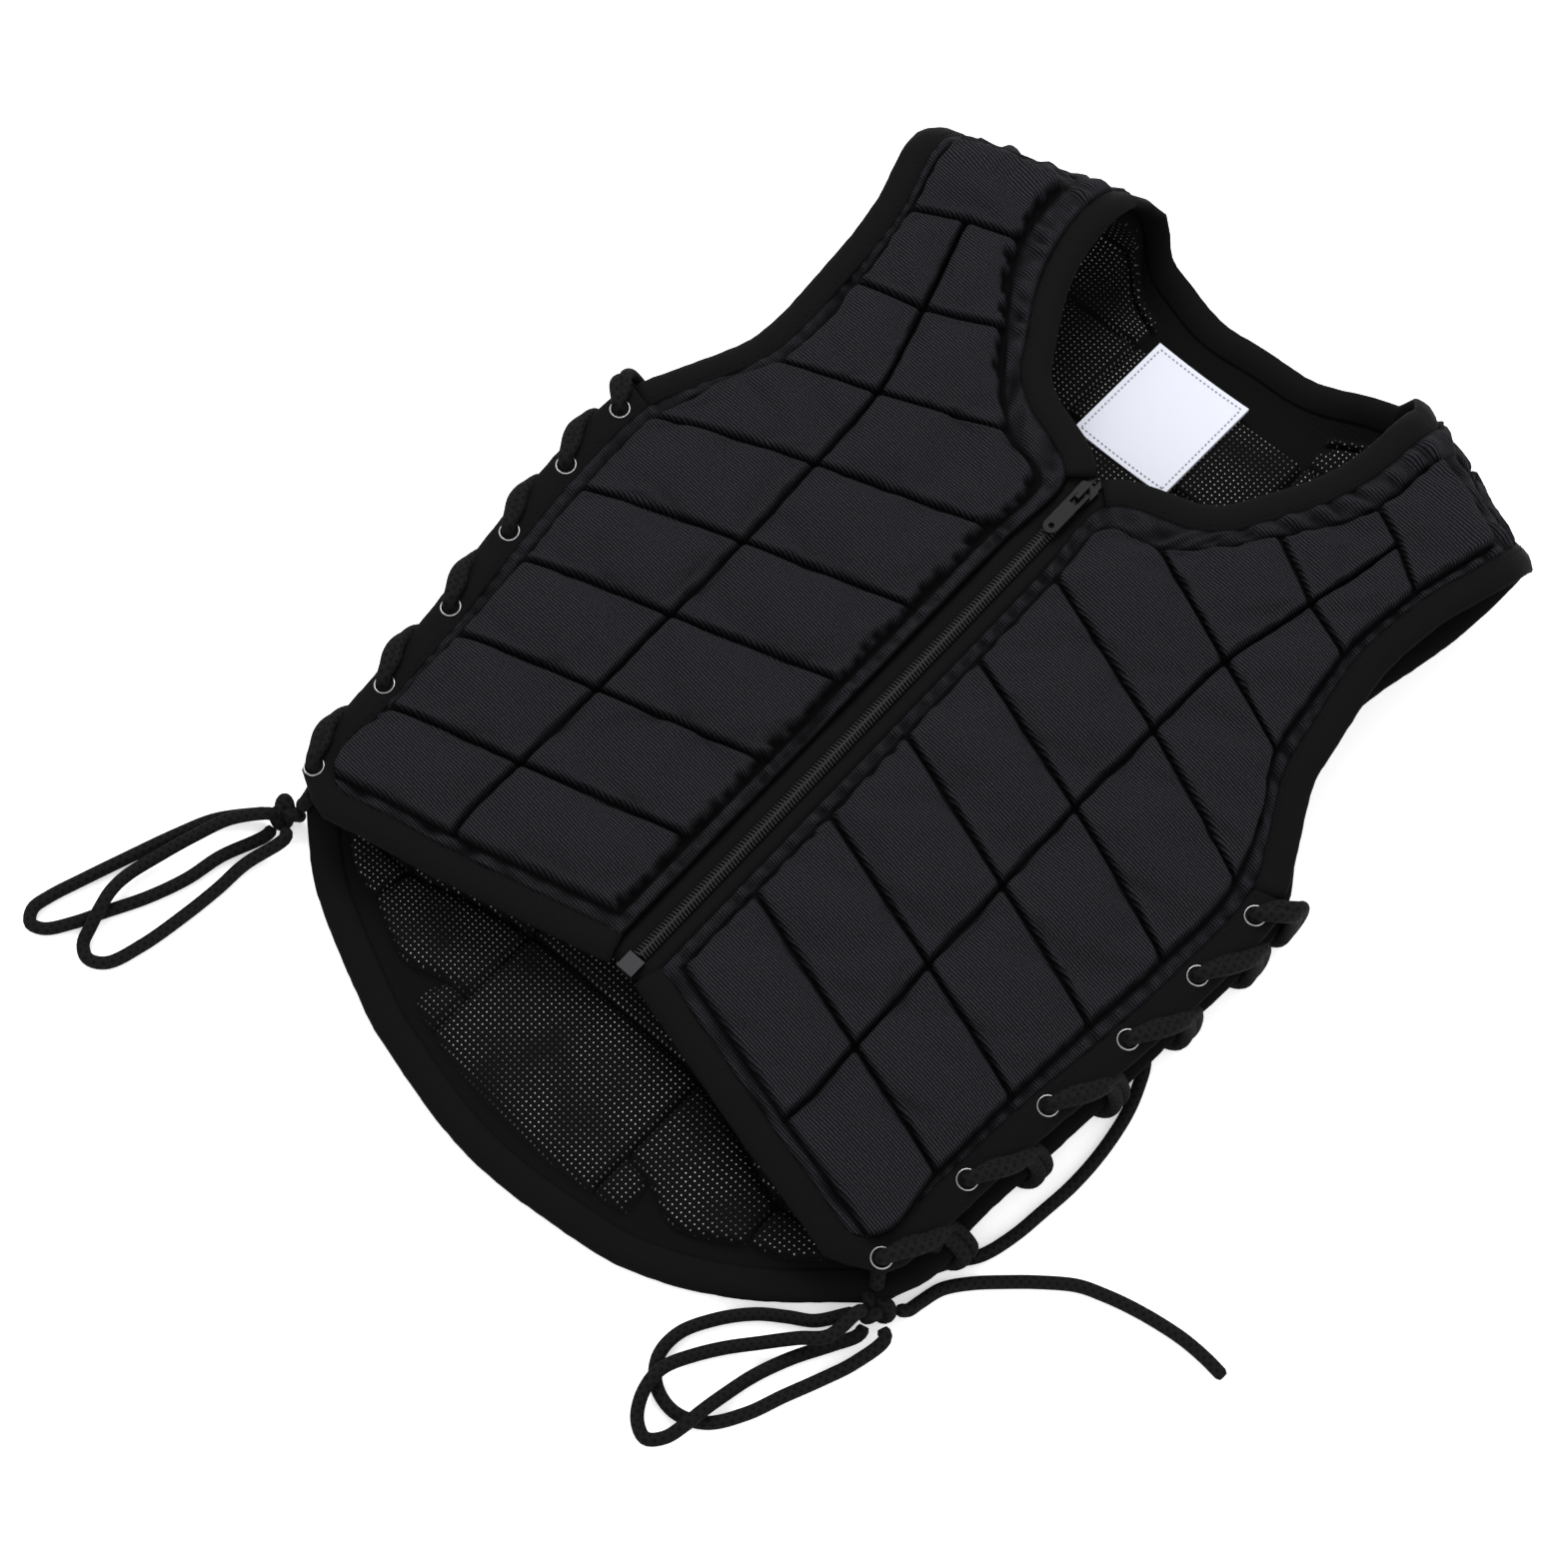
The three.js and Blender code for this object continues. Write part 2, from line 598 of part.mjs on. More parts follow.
// The cloth's edge at the lines of a pattern, from the grid's stations that lie on a line
const onLine = (kinds) => stations(kinds).map((s, i) => [s, i]).filter(([s]) => s.by === 0);
const frontRows = onLine([...FRONT_LINES.map((row) => row[0]), 'edge']);
const backRows = onLine(BACK_LINES.map((row) => row[0]));
const frontColumns = onLine(FRONT_COLUMNS);
const backMiddle = (back[0].length - 1) / 2;
const backColumns = onLine(BACK_COLUMNS);

const frontPoint = (row, column, width) => ({ ...front[row][column], surface: frontSurface, width });
const backPoint = (row, column, width) => ({ ...back[row][column], surface: backSurface, width });
const beside = (p, dx, ds) => ({ ...p, x: p.x + dx, s: p.s + ds });

const lastFront = front[0].length - 1;
const lastBack = back[0].length - 1;
const upTo = (rows, line) => rows.filter(([s]) => s.line <= line).map(([, i]) => i);
const downTo = (rows, line) => rows.filter(([s]) => s.line >= line).map(([, i]) => i);

const frontHem = frontColumns.map(([, i]) => frontPoint(0, i, BINDING));
const frontSide = upTo(frontRows, FRONT_UNDERARM_ROW).map((i) => frontPoint(i, lastFront, SIDE_BINDING));
const frontArm = downTo(frontRows, FRONT_UNDERARM_ROW).map((i) => frontPoint(i, lastFront, BINDING));
const frontNeck = downTo(frontRows, FRONT_COLLAR_ROW).map((i) => frontPoint(i, 0, BINDING));
const backSide = upTo(backRows, BACK_UNDERARM_ROW).map((i) => backPoint(i, lastBack, SIDE_BINDING));
const backArm = downTo(backRows, BACK_UNDERARM_ROW).map((i) => backPoint(i, lastBack, BINDING));
const backTop = backColumns.filter(([s]) => s.line < NECK_COLUMNS)
  .map(([, i]) => backPoint(back.length - 1, backMiddle + i, BINDING));
const backTail = backColumns.map(([, i]) => backPoint(0, backMiddle + i, BINDING));

function cornerWidth(run, width) {
  const first = { ...run[0], width };
  return [first, ...run.slice(1)];
}

const hemRun = [beside(frontHem[0], -COIL_WIDTH, 0), ...frontHem, ...frontSide.slice(1), frontArm[1]];
const armRun = [frontSide[frontSide.length - 2], ...cornerWidth(frontArm, SIDE_BINDING).slice(0, -1),
  ...cornerWidth(backArm, SIDE_BINDING).reverse(), backSide[backSide.length - 2]];
const halfNeck = [...frontNeck.slice(0, -1), ...backTop.slice(1).reverse()];
const neckRun = [beside(halfNeck[0], -COIL_WIDTH, 0), ...halfNeck, backTop[0],
  ...mirrored(halfNeck).reverse(), beside(mirrored(halfNeck)[0], COIL_WIDTH, 0)];
const halfBack = [...backTail.slice(1), ...backSide.slice(1)];
const backRun = [backArm[1], ...halfBack.slice().reverse(), backTail[0], ...mirrored(halfBack),
  mirrored(backArm)[1]];

// x of a side edge at s
function edgeX(run, s) {
  const i = Math.max(run.findIndex((p) => p.s >= s), 1);
  const share = (s - run[i - 1].s) / (run[i].s - run[i - 1].s);
  return THREE.MathUtils.lerp(run[i - 1].x, run[i].x, share);
}

function eyeletPlaces(run, surface, rise) {
  return EYELET_STATIONS.map((share, k) => {
    const s = share * BODY_LENGTH + rise(k);
    const x = edgeX(run, s) + SIDE_BINDING - EYELET_INSET;
    return { point: surface(x, s), axis: outward(surface, x, s) };
  });
}

const topEyelet = EYELET_STATIONS.length - 1;
const laceRise = (k) => (k === topEyelet ? TOP_LACE_RISE : LACE_RISE);
const frontEyelets = eyeletPlaces(frontSide, frontSurface, () => 0);
const backEyelets = eyeletPlaces(backSide, backSurface, laceRise);
const flip = (p, side) => new THREE.Vector3(side * p.x, p.y, p.z);
const UP = new THREE.Vector3(0, 0, 1);
const facing = (axis, side) => new THREE.Quaternion().setFromUnitVectors(UP, flip(axis, side));

function eyeletHole(place, side) {
  const radius = EYELET_BORE / 2 + EYELET_WALL + EYELET_SEAT_GAP;
  const hole = new THREE.CylinderGeometry(radius, radius, 3 * BINDING_THICKNESS, EYELET_SEGMENTS);
  hole.rotateX(Math.PI / 2);
  hole.applyQuaternion(facing(place.axis, side));
  return hole.translate(...flip(place.point, side));
}

// A barrel through the tape with a rim on its outer face
function eyelet() {
  const bore = EYELET_BORE / 2;
  const barrel = bore + EYELET_WALL;
  const rimFoot = BINDING_HALF + EYELET_SEAT_GAP;
  const rimTop = rimFoot + EYELET_RIM_THICKNESS;
  const profile = [[bore, -BINDING_HALF], [barrel, -BINDING_HALF], [barrel, rimFoot],
    [EYELET_RIM / 2, rimFoot], [bore, rimTop], [bore, -BINDING_HALF]];
  const turned = profile.map(([r, z]) => new THREE.Vector2(r, z));
  return bare(new THREE.LatheGeometry(turned, EYELET_SEGMENTS)).rotateX(Math.PI / 2);
}

// Turns of the lace from one front eyelet, over the edge, under the back edge and up again:
// how far along the eyelet's axis, then x, y and z beside it
const OVER_FRONT = [[-6, 0, 0, 0], [5, 0.4, 0.4, 0], [0, 4.6, 5, 6.2], [0, 10.4, 9, 5.4],
  [0, 13, 13, 1], [0, 12.6, 19, -6]];
const UNDER_BACK = [[0, 13, 2.5, 1], [0, 10.8, 1, -6], [0, 4.8, 0, -7], [4.8, 0.4, 0, 0],
  [-7, 0, 0, 0]];

function laceRoute(side) {
  const route = [];
  const pass = (place, turns, ahead) => {
    for (const [along, x, y, z] of turns) {
      const beside = new THREE.Vector3(x, y * ahead, z).addScaledVector(place.axis, along);
      route.push(beside.add(place.point));
    }
  };
  frontEyelets.forEach((place, k) => {
    pass(place, OVER_FRONT, laceRise(k) / LACE_RISE);
    pass(backEyelets[k], UNDER_BACK, 1);
  });
  return route.map((p) => flip(p, side));
}

function buildPanels() {
  for (const [word, side] of SIDES) {
    add(`front_panel_${word}`,
      panelSolid(front, frontSurface, side, FRONT_BLOCK_RISE, FRONT_LINING_RISE), fabric);
  }
  add('back_panel', panelSolid(back, backSurface, 1, BACK_BLOCK_RISE, BACK_LINING_RISE), fabric);
}

function buildBindings() {
  for (const [word, side] of SIDES) {
    const place = (run) => (side > 0 ? run : mirrored(run));
    const holes = frontEyelets.map((p) => eyeletHole(p, side));
    add(`hem_binding_${word}`, cut(bindingSolid(place(hemRun), side), holes), tape);
    add(`arm_binding_${word}`, bindingSolid(place(armRun), side), tape);
  }
  add('neck_binding', bindingSolid(neckRun, -1), tape);
  const holes = SIDES.flatMap(([, side]) => backEyelets.map((p) => eyeletHole(p, side)));
  add('back_binding', cut(bindingSolid(backRun, 1), holes), tape);
}

function box(x0, x1, y0, y1, z0, z1) {
  const block = new THREE.BoxGeometry(x1 - x0, y1 - y0, z1 - z0);
  return bare(block.translate((x0 + x1) / 2, (y0 + y1) / 2, (z0 + z1) / 2));
}

// The outline lies in x and y, and the plate's middle is at height 0
function plate(shape, thickness) {
  const flat = new THREE.ExtrudeGeometry(shape, { depth: thickness, bevelEnabled: false, curveSegments: 6 });
  return flat.translate(0, 0, -thickness / 2);
}

function sliderBody() {
  const half = SLIDER_WIDTH / 2;
  const end = SLIDER_LENGTH / 2;
  const waist = half * SLIDER_TAPER;
  const top = half - SLIDER_CORNER;
  const shoulder = end - SLIDER_CORNER;
  const corners = [[-half, 0], [-half, shoulder], [-top, end], [top, end], [half, shoulder],
    [half, 0], [waist, -end], [-waist, -end]];
  const outline = new THREE.Shape(corners.map(([x, y]) => new THREE.Vector2(x, y)));
  return plate(outline, SLIDER_HEIGHT).translate(0, 0, -PULL_CLEAR - SLIDER_HEIGHT / 2);
}

// The arch over the pull's eye bar, seen from the side
function sliderBridge() {
  const end = BRIDGE_LENGTH / 2;
  const inner = end - BRIDGE_POST;
  const foot = -PULL_CLEAR - SLIDER_HEIGHT / 3;
  const top = PULL_CLEAR + BRIDGE_BAR;
  const corners = [[-end, foot], [-end, top], [end, top], [end, foot], [inner, foot],
    [inner, PULL_CLEAR], [-inner, PULL_CLEAR], [-inner, foot]];
  const side = new THREE.Shape(corners.map(([y, z]) => new THREE.Vector2(y, z)));
  const arch = new THREE.ExtrudeGeometry(side, { depth: BRIDGE_WIDTH, bevelEnabled: false });
  arch.rotateX(Math.PI / 2);
  arch.rotateZ(Math.PI / 2);
  return arch.translate(-BRIDGE_WIDTH / 2, 0, 0);
}

function pullTab() {
  const half = PULL_WIDTH / 2;
  const top = PULL_EYE_BAR / 2;
  const tip = top - PULL_LENGTH;
  const outline = new THREE.Shape();
  outline.moveTo(-half, top);
  outline.lineTo(-half, tip + half);
  outline.absarc(0, tip + half, half, Math.PI, 2 * Math.PI, false);
  outline.lineTo(half, top);
  outline.closePath();
  const edge = PULL_WINDOW_WIDTH / 2;
  const window = new THREE.Path([[-edge, -top], [edge, -top], [edge, -top - PULL_WINDOW_LENGTH],
    [-edge, -top - PULL_WINDOW_LENGTH]].map(([x, y]) => new THREE.Vector2(x, y)));
  const hole = new THREE.Path();
  hole.absarc(0, tip + half, PULL_HOLE / 2, 0, 2 * Math.PI, true);
  outline.holes.push(window, hole);
  return plate(outline, PULL_THICKNESS);
}

// The zip lies in the plane of the front at its centre line, in a group of its own
function buildZip() {
  const foot = frontSurface(0, 0);
  const head = frontSurface(0, ZIP_TOP);
  const zip = new THREE.Group();
  zip.position.copy(foot);
  zip.rotation.x = Math.atan2(head.z - foot.z, head.y - foot.y);
  group.add(zip);
  const tapeTop = -BINDING_HALF - FIT_GAP;
  const tapeFoot = tapeTop - TAPE_THICKNESS;
  const coilFoot = tapeTop + FIT_GAP;
  const stopEnd = STOP_LENGTH + FIT_GAP;
  const sliderMiddle = ZIP_TOP - SLIDER_LENGTH / 2;
  const tapeEnd = ZIP_TOP + TOP_STOP_LENGTH + 2 * FIT_GAP;
  for (const [word, side] of SIDES) {
    const strip = (inner, outer, y0, y1, z0, z1) =>
      box(Math.min(side * inner, side * outer), Math.max(side * inner, side * outer), y0, y1, z0, z1);
    add(`zip_tape_${word}`,
      strip(TAPE_SPLIT / 2, TAPE_WIDTH, stopEnd, tapeEnd, tapeFoot, tapeTop), tape, zip);
    add(`zip_top_stop_${word}`, strip(TAPE_SPLIT, TAPE_SPLIT + TOP_STOP_WIDTH, ZIP_TOP + FIT_GAP,
      ZIP_TOP + FIT_GAP + TOP_STOP_LENGTH, coilFoot, coilFoot + TOP_STOP_HEIGHT), darkMetal, zip);
  }
  const half = COIL_WIDTH / 2;
  const coil = new THREE.Shape([[-half, 0], [half, 0], [half, COIL_HEIGHT / 2],
    [half * COIL_CROWN, COIL_HEIGHT], [-half * COIL_CROWN, COIL_HEIGHT], [-half, COIL_HEIGHT / 2]]
    .map(([x, z]) => new THREE.Vector2(x, z)));
  const coilEnd = ZIP_TOP - SLIDER_LENGTH - FIT_GAP;
  const row = new THREE.ExtrudeGeometry(coil, { depth: coilEnd - stopEnd, bevelEnabled: false });
  row.rotateX(Math.PI / 2);
  add('zip_coil', row.translate(0, coilEnd, coilFoot), zipPlastic, zip);
  add('zip_stop', box(-STOP_WIDTH / 2, STOP_WIDTH / 2, 0, STOP_LENGTH, tapeFoot,
    tapeFoot + STOP_HEIGHT), darkMetal, zip);
  const slider = new THREE.Group();
  slider.position.set(0, sliderMiddle, coilFoot + SLIDER_HEIGHT + PULL_CLEAR);
  zip.add(slider);
  add('zip_slider', join(sliderBody(), sliderBridge()), darkMetal, slider);
  add('zip_pull', pullTab(), darkMetal, slider);
}

function buildEyelets() {
  for (const [word, side] of SIDES) {
    for (const [edge, places] of [['front', frontEyelets], ['back', backEyelets]]) {
      places.forEach((place, k) => {
        const ring = add(`eyelet_${edge}_${word}_${k + 1}`, eyelet(), eyeletMetal);
        ring.position.copy(flip(place.point, side));
        ring.quaternion.copy(facing(place.axis, side));
      });
    }
  }
}

function buildLabel() {
  const foot = BACK_LEVEL + CLOTH_HALF + BACK_LINING_RISE + FIT_GAP;
  add('label', box(LABEL_OFFSET - LABEL_WIDTH / 2, LABEL_OFFSET + LABEL_WIDTH / 2, LABEL_FOOT,
    LABEL_FOOT + LABEL_LENGTH, foot, foot + LABEL_THICKNESS), labelCloth);
}

function buildLaces() {
  for (const [word, side] of SIDES) {
    const knot = KNOTS[word];
    const port = knotPort(knot, [side * LACE_PORT[0], LACE_PORT[1], LACE_PORT[2]]);
    add(`side_lace_${word}`, threadedTube([...port, ...laceRoute(side)], LACE, LACE_SIDES), cordCloth);
    const ball = bare(new THREE.SphereGeometry(0.5, 10, 7));
    ball.scale(...KNOT_SIZE);
    add(`bow_knot_${word}`, ball.translate(...knot), cordCloth, cordGroup);
  }
}

function buildCords() {
  for (const { name, knot, from, points, to } of CORDS) {
    const route = points.map((p) => new THREE.Vector3(...p));
    if (from) route.unshift(...knotPort(KNOTS[knot], from));
    if (to) route.push(...knotPort(KNOTS[knot], to).reverse());
    const path = new THREE.CatmullRomCurve3(route, false, 'centripetal');
    const steps = Math.round(path.getLength() / (LACE * CORD_STEP));
    add(name, tube(route, LACE, steps), cordCloth, cordGroup);
  }
}

// Stands the protector on the ground with the bottom centre of its box at the origin
function centre() {
  group.updateMatrixWorld(true);
  const bounds = new THREE.Box3();
  const body = group.children.filter((child) => child !== cordGroup);
  body.forEach((child) => bounds.expandByObject(child, true));
  const middle = bounds.getCenter(new THREE.Vector3());
  group.position.set(-middle.x, -middle.y, -bounds.min.z);
}

buildPanels();
buildBindings();
buildZip();
buildEyelets();
buildLabel();
buildLaces();
buildCords();
centre();

export default group;
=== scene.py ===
"""A child's equestrian body protector lying on its back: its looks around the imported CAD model.

Metres, in the frame of the CAD model. The panels are laid out in a flat pattern: x across, s along
the panel from the foot of the zip. Two surfaces, front and back, carry the pattern into space.
"""

import math

import bmesh
import bpy
import numpy as np
from mathutils import Matrix, Vector


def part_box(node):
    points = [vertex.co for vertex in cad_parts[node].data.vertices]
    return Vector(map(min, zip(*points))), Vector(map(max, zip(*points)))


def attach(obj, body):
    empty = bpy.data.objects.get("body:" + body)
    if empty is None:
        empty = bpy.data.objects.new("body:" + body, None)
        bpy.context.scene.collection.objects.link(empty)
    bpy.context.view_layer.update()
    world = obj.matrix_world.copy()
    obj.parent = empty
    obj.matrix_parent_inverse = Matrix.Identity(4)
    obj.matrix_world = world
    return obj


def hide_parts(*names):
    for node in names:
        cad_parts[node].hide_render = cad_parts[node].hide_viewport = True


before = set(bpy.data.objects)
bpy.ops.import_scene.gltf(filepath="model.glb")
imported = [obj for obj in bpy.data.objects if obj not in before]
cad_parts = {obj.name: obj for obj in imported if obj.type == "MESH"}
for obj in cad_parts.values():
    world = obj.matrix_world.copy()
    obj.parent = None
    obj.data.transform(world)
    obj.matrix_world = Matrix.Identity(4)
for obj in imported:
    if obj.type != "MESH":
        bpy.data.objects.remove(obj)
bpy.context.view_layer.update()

# Camera, as the photograph was taken
CAMERA_AZIMUTH = math.radians(42.91)
CAMERA_ELEVATION = math.radians(64.45)
CAMERA_ROLL = math.radians(-0.49)
CAMERA_DISTANCE = 1.542
CAMERA_TARGET = (-0.0201, -0.0454, 0.0)
CAMERA_LENS = 85.1
CAMERA_SENSOR = 36.0

# Sizes of the whole, as in the CAD model
HALF_WIDTH = 0.170
BODY_LENGTH = 0.400
HEM_HEIGHT = 0.035
SHOULDER_ROLL = 0.029
ROLL_START = 0.955 * BODY_LENGTH
ROLL_SLANT = 0.355
STRAP_INNER = 0.076
SEAM_ARC = 0.026
SIDE_DROP = 0.007
SIDE_DROP_START = 0.6
SIDE_DROP_FADE = 0.150
BACK_EDGE_LIFT = 0.007
BACK_CURL_START = 0.66
BACK_CURL_END = 0.9
BACK_CURL_FOOT = -0.060
BACK_CURL_FADE = 0.050
BACK_CURL_TOP_FADE = 0.080

# How it lies in the photograph: its edges spread or drawn in, its neck and tail aslant
SIDE_SPREAD = 0.004
SPREAD_START = 0.090
SPREAD_FADE = 0.050
SPREAD_FOOT = 0.200
BACK_OUT = 0.008
ARM_DRAW = 0.007
ARM_DRAW_FOOT = 0.250
ROLL_REACH = 0.0315
NECK_SLANT = 0.07
NECK_REACH = 0.075
NECK_SIDE_FADE = 0.020
NECK_FOOT = 0.020
NECK_FADE = 0.030
TAIL_SLANT = 0.06
TAIL_REACH = 0.150
TAIL_FADE = 0.080

# Padding
CLOTH_HALF = 0.0015
FRONT_BLOCK_RISE = 0.0065
FRONT_LINING_RISE = 0.004
BACK_BLOCK_RISE = 0.0035
BACK_LINING_RISE = 0.005
BLOCK_CROWN = 0.0007
BLOCK_EDGE = 0.0018
BLOCK_CORNER = 0.0026
BLOCK_ROUNDNESS = 2.1
SEAM_HALF = 0.0004
CROWN_REACH = 0.016
UNDER_CROWN = 0.5
SAG = 0.0003
SAG_PITCH = 0.050
COLLAR_START = 0.74
COLLAR_FADE = 0.1
COLLAR_HALF = 0.6
STRIP_PUFF = 0.0013
COLLAR_PUFF = 0.0030
CREASE = 0.0018
COLLAR_CREASE = 0.0028
CREASE_PITCH = 0.0065
CREASE_TURN = 0.35
RUFFLE = {1: 0.0007, -1: 0.0018}
RUFFLE_PITCH = 0.0062
OUTER_RUFFLE = 0.3
# Painted shade of the bare strips and of their folds, put into the cloth's colour
STRIP_SHADE = 0.8
COLLAR_SHADE = 0.9
SHADE_PLATEAU = 1.8
FOLD_SHADE = 0.5
FOLD_SHADE_RANGE = (-2, 0.5)
GRID_STEP = 0.0023
BACK_GRID_STEP = 0.0030
EVEN_SHARE = 0.25

# Cloth simulation of the outer skin
CLOTH = {"quality": 4, "mass": 0.15, "tension_stiffness": 12, "compression_stiffness": 12,
         "bending_stiffness": 0.3, "use_pressure": True, "uniform_pressure_force": 4.0,
         "shrink_min": -0.03}
SWELL_FRAMES = 20
SWELL_CAP = 0.0022
LOOSE_GAIN = 1.6
LOOSE_START = 0.45
SEED = 7

# Binding tape
BINDING = 0.012
SIDE_BINDING = 0.014
BINDING_HALF = 0.0019
BINDING_STEP = 0.0022
RIPPLE_PITCHES = (0.007, 0.011, 0.023)
RIPPLE_LIFT = 0.06
RIPPLE_WIDTH = 0.0002
STITCH_PITCH = 0.0034
STITCH_LENGTH = 0.0022
STITCH_THICKNESS = 0.0005
STITCH_INSET = 0.0018
STITCH_LIFT = 0.0007
STITCH_TAPER = (0.3, 1, 1, 0.3)

# Folded tape, from the cloth outwards: share of its width, then metres out and metres of height
# beyond half its thickness
TAPE_SECTION = [(0, -0.0012, 0), (0, 0.0002, 0.0003), (0.25, 0, 0.0009), (0.55, 0, 0.0010),
                (1, -0.0030, 0.0003), (1, -0.0007, -0.00076)]

# Zip
ZIP_TOP = 0.71 * BODY_LENGTH
ZIP_EDGE = 0.062
ZIP_TAPE = [(0, -0.0032), (0.0024, -0.0019), (0.0042, -0.0012), (0.0075, -0.0010),
            (0.0118, -0.0012), (0.0118, -0.0032)]
ZIP_TAPE_STEP = 0.004
TOOTH_PITCH = 0.0016
TOOTH_REACH = 0.0029
TOOTH_THICKNESS = 0.0011
TOOTH_SLANT = 0.0003
TOOTH_RISE = 0.0004
COIL_LEVEL = -0.0004
STOP_LENGTH = 0.008
SLIDER_LENGTH = 0.012
ZIP_EDGES = {"zip_stop": 0.0006, "zip_slider": 0.0004, "zip_pull": 0.00035,
             "zip_top_stop_left": 0.0003, "zip_top_stop_right": 0.0003}

# Eyelets, laces and cords
EYELET_BORE = 0.0074
EYELET_RIM = 0.0092
EYELET_INSET = 0.008
EYELET_ROUND = 0.0006
EYELET_WALL = 0.0005
EYELET_SIDES = 28
LACE = 0.0055
SIDE_LACE = 0.0062
TWIN_LACE = 0.0054
LACE_RISE = 0.022
TOP_LACE_RISE = 0.012
KNOT_SIZE = (0.016, 0.016, 0.012)
KNOT_LEAD = 0.004
KNOT_WINDING = 1.5
KNOT_DEPTH = 1.25
FIT_GAP = 0.0003
LACE_PORT = (-0.41, 0.51, 0.75)

# Label
LABEL_FOOT = 0.8025 * BODY_LENGTH
LABEL_CURL = 0.0012
LABEL_COUNT = 16
LABEL_STITCH_INSET = 0.0024
LABEL_STITCH_LIFT = 0.0003
LABEL_STITCH = {"pitch": 0.0022, "length": 0.0012, "thickness": 0.0006}

# Patterns of the cloths
RIB_PITCH = 0.0012
RIB_TURN = math.radians(6)
DOT_PITCH = 0.0024
DOT_REACH = 0.118
TAPE_RIB_PITCH = 0.0008
BRAID_PITCH = 0.0036
BRAID_STRANDS = 4

# Light and floor: each light's place, size and power
LIGHTS = {"key": ((-1.0, 1.0, 2.0), 1.2, 45), "fill": ((1.4, -0.6, 1.6), 1.6, 8)}
SKY_STRENGTH = 1.05
PAPER_GLOW = 0.45
FLOOR_HALF = 4.0
FLOOR_LEVEL = -0.0002

BACK_LEVEL = CLOTH_HALF + BACK_BLOCK_RISE
SHOULDER_HEIGHT = BACK_LEVEL + 2 * SHOULDER_ROLL
SIDES = (("left", 1), ("right", -1))
FOOT_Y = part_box("label")[0].y - LABEL_FOOT

# Front pattern: kind of line, then x in half widths and s in body lengths at the zip or neck edge,
# the inner block end, the middle groove, the outer block end and the side or armhole edge
FRONT_LINES = [
    ("edge", (ZIP_EDGE, 0.025), (0.1, 0.02), (0.52, -0.025), (0.8, -0.05), (0.865, -0.035)),
    ("end", (ZIP_EDGE, 0.045), (0.1, 0.04), (0.53, -0.01), (0.845, -0.04), (0.87, -0.025)),
    ("groove", (ZIP_EDGE, 0.145), (0.1, 0.145), (0.535, 0.09), (0.865, 0.05), (0.885, 0.045)),
    ("groove", (ZIP_EDGE, 0.255), (0.1, 0.255), (0.53, 0.2), (0.875, 0.155), (0.905, 0.15)),
    ("groove", (ZIP_EDGE, 0.37), (0.1, 0.37), (0.53, 0.31), (0.895, 0.26), (0.94, 0.255)),
    ("groove", (ZIP_EDGE, 0.48), (0.1, 0.48), (0.53, 0.42), (0.92, 0.36), (0.965, 0.355)),
    ("groove", (ZIP_EDGE, 0.6), (0.1, 0.6), (0.54, 0.535), (0.92, 0.47), (0.965, 0.48)),
    ("shape", (ZIP_EDGE, 0.7), (0.1, 0.675), (0.545, 0.59), (0.86, 0.54), (0.91, 0.53)),
    ("groove", (0.265, 0.74), (0.235, 0.695), (0.555, 0.64), (0.785, 0.6), (0.83, 0.6)),
    ("groove", (0.39, 0.8), (0.435, 0.785), (0.62, 0.745), (0.785, 0.725), (0.82, 0.73)),
    ("groove", (0.485, 0.88), (0.57, 0.875), (0.695, 0.855), (0.82, 0.825), (0.845, 0.825)),
    ("end", (0.515, 0.96), (0.595, 0.96), (0.735, 0.945), (0.875, 0.92), (0.905, 0.915)),
]
FRONT_COLUMNS = ["edge", "end", "groove", "end", "edge"]
FRONT_SHOULDER_ROW = 10
FRONT_UNDERARM_ROW = 6
FRONT_COLLAR_ROW = 7

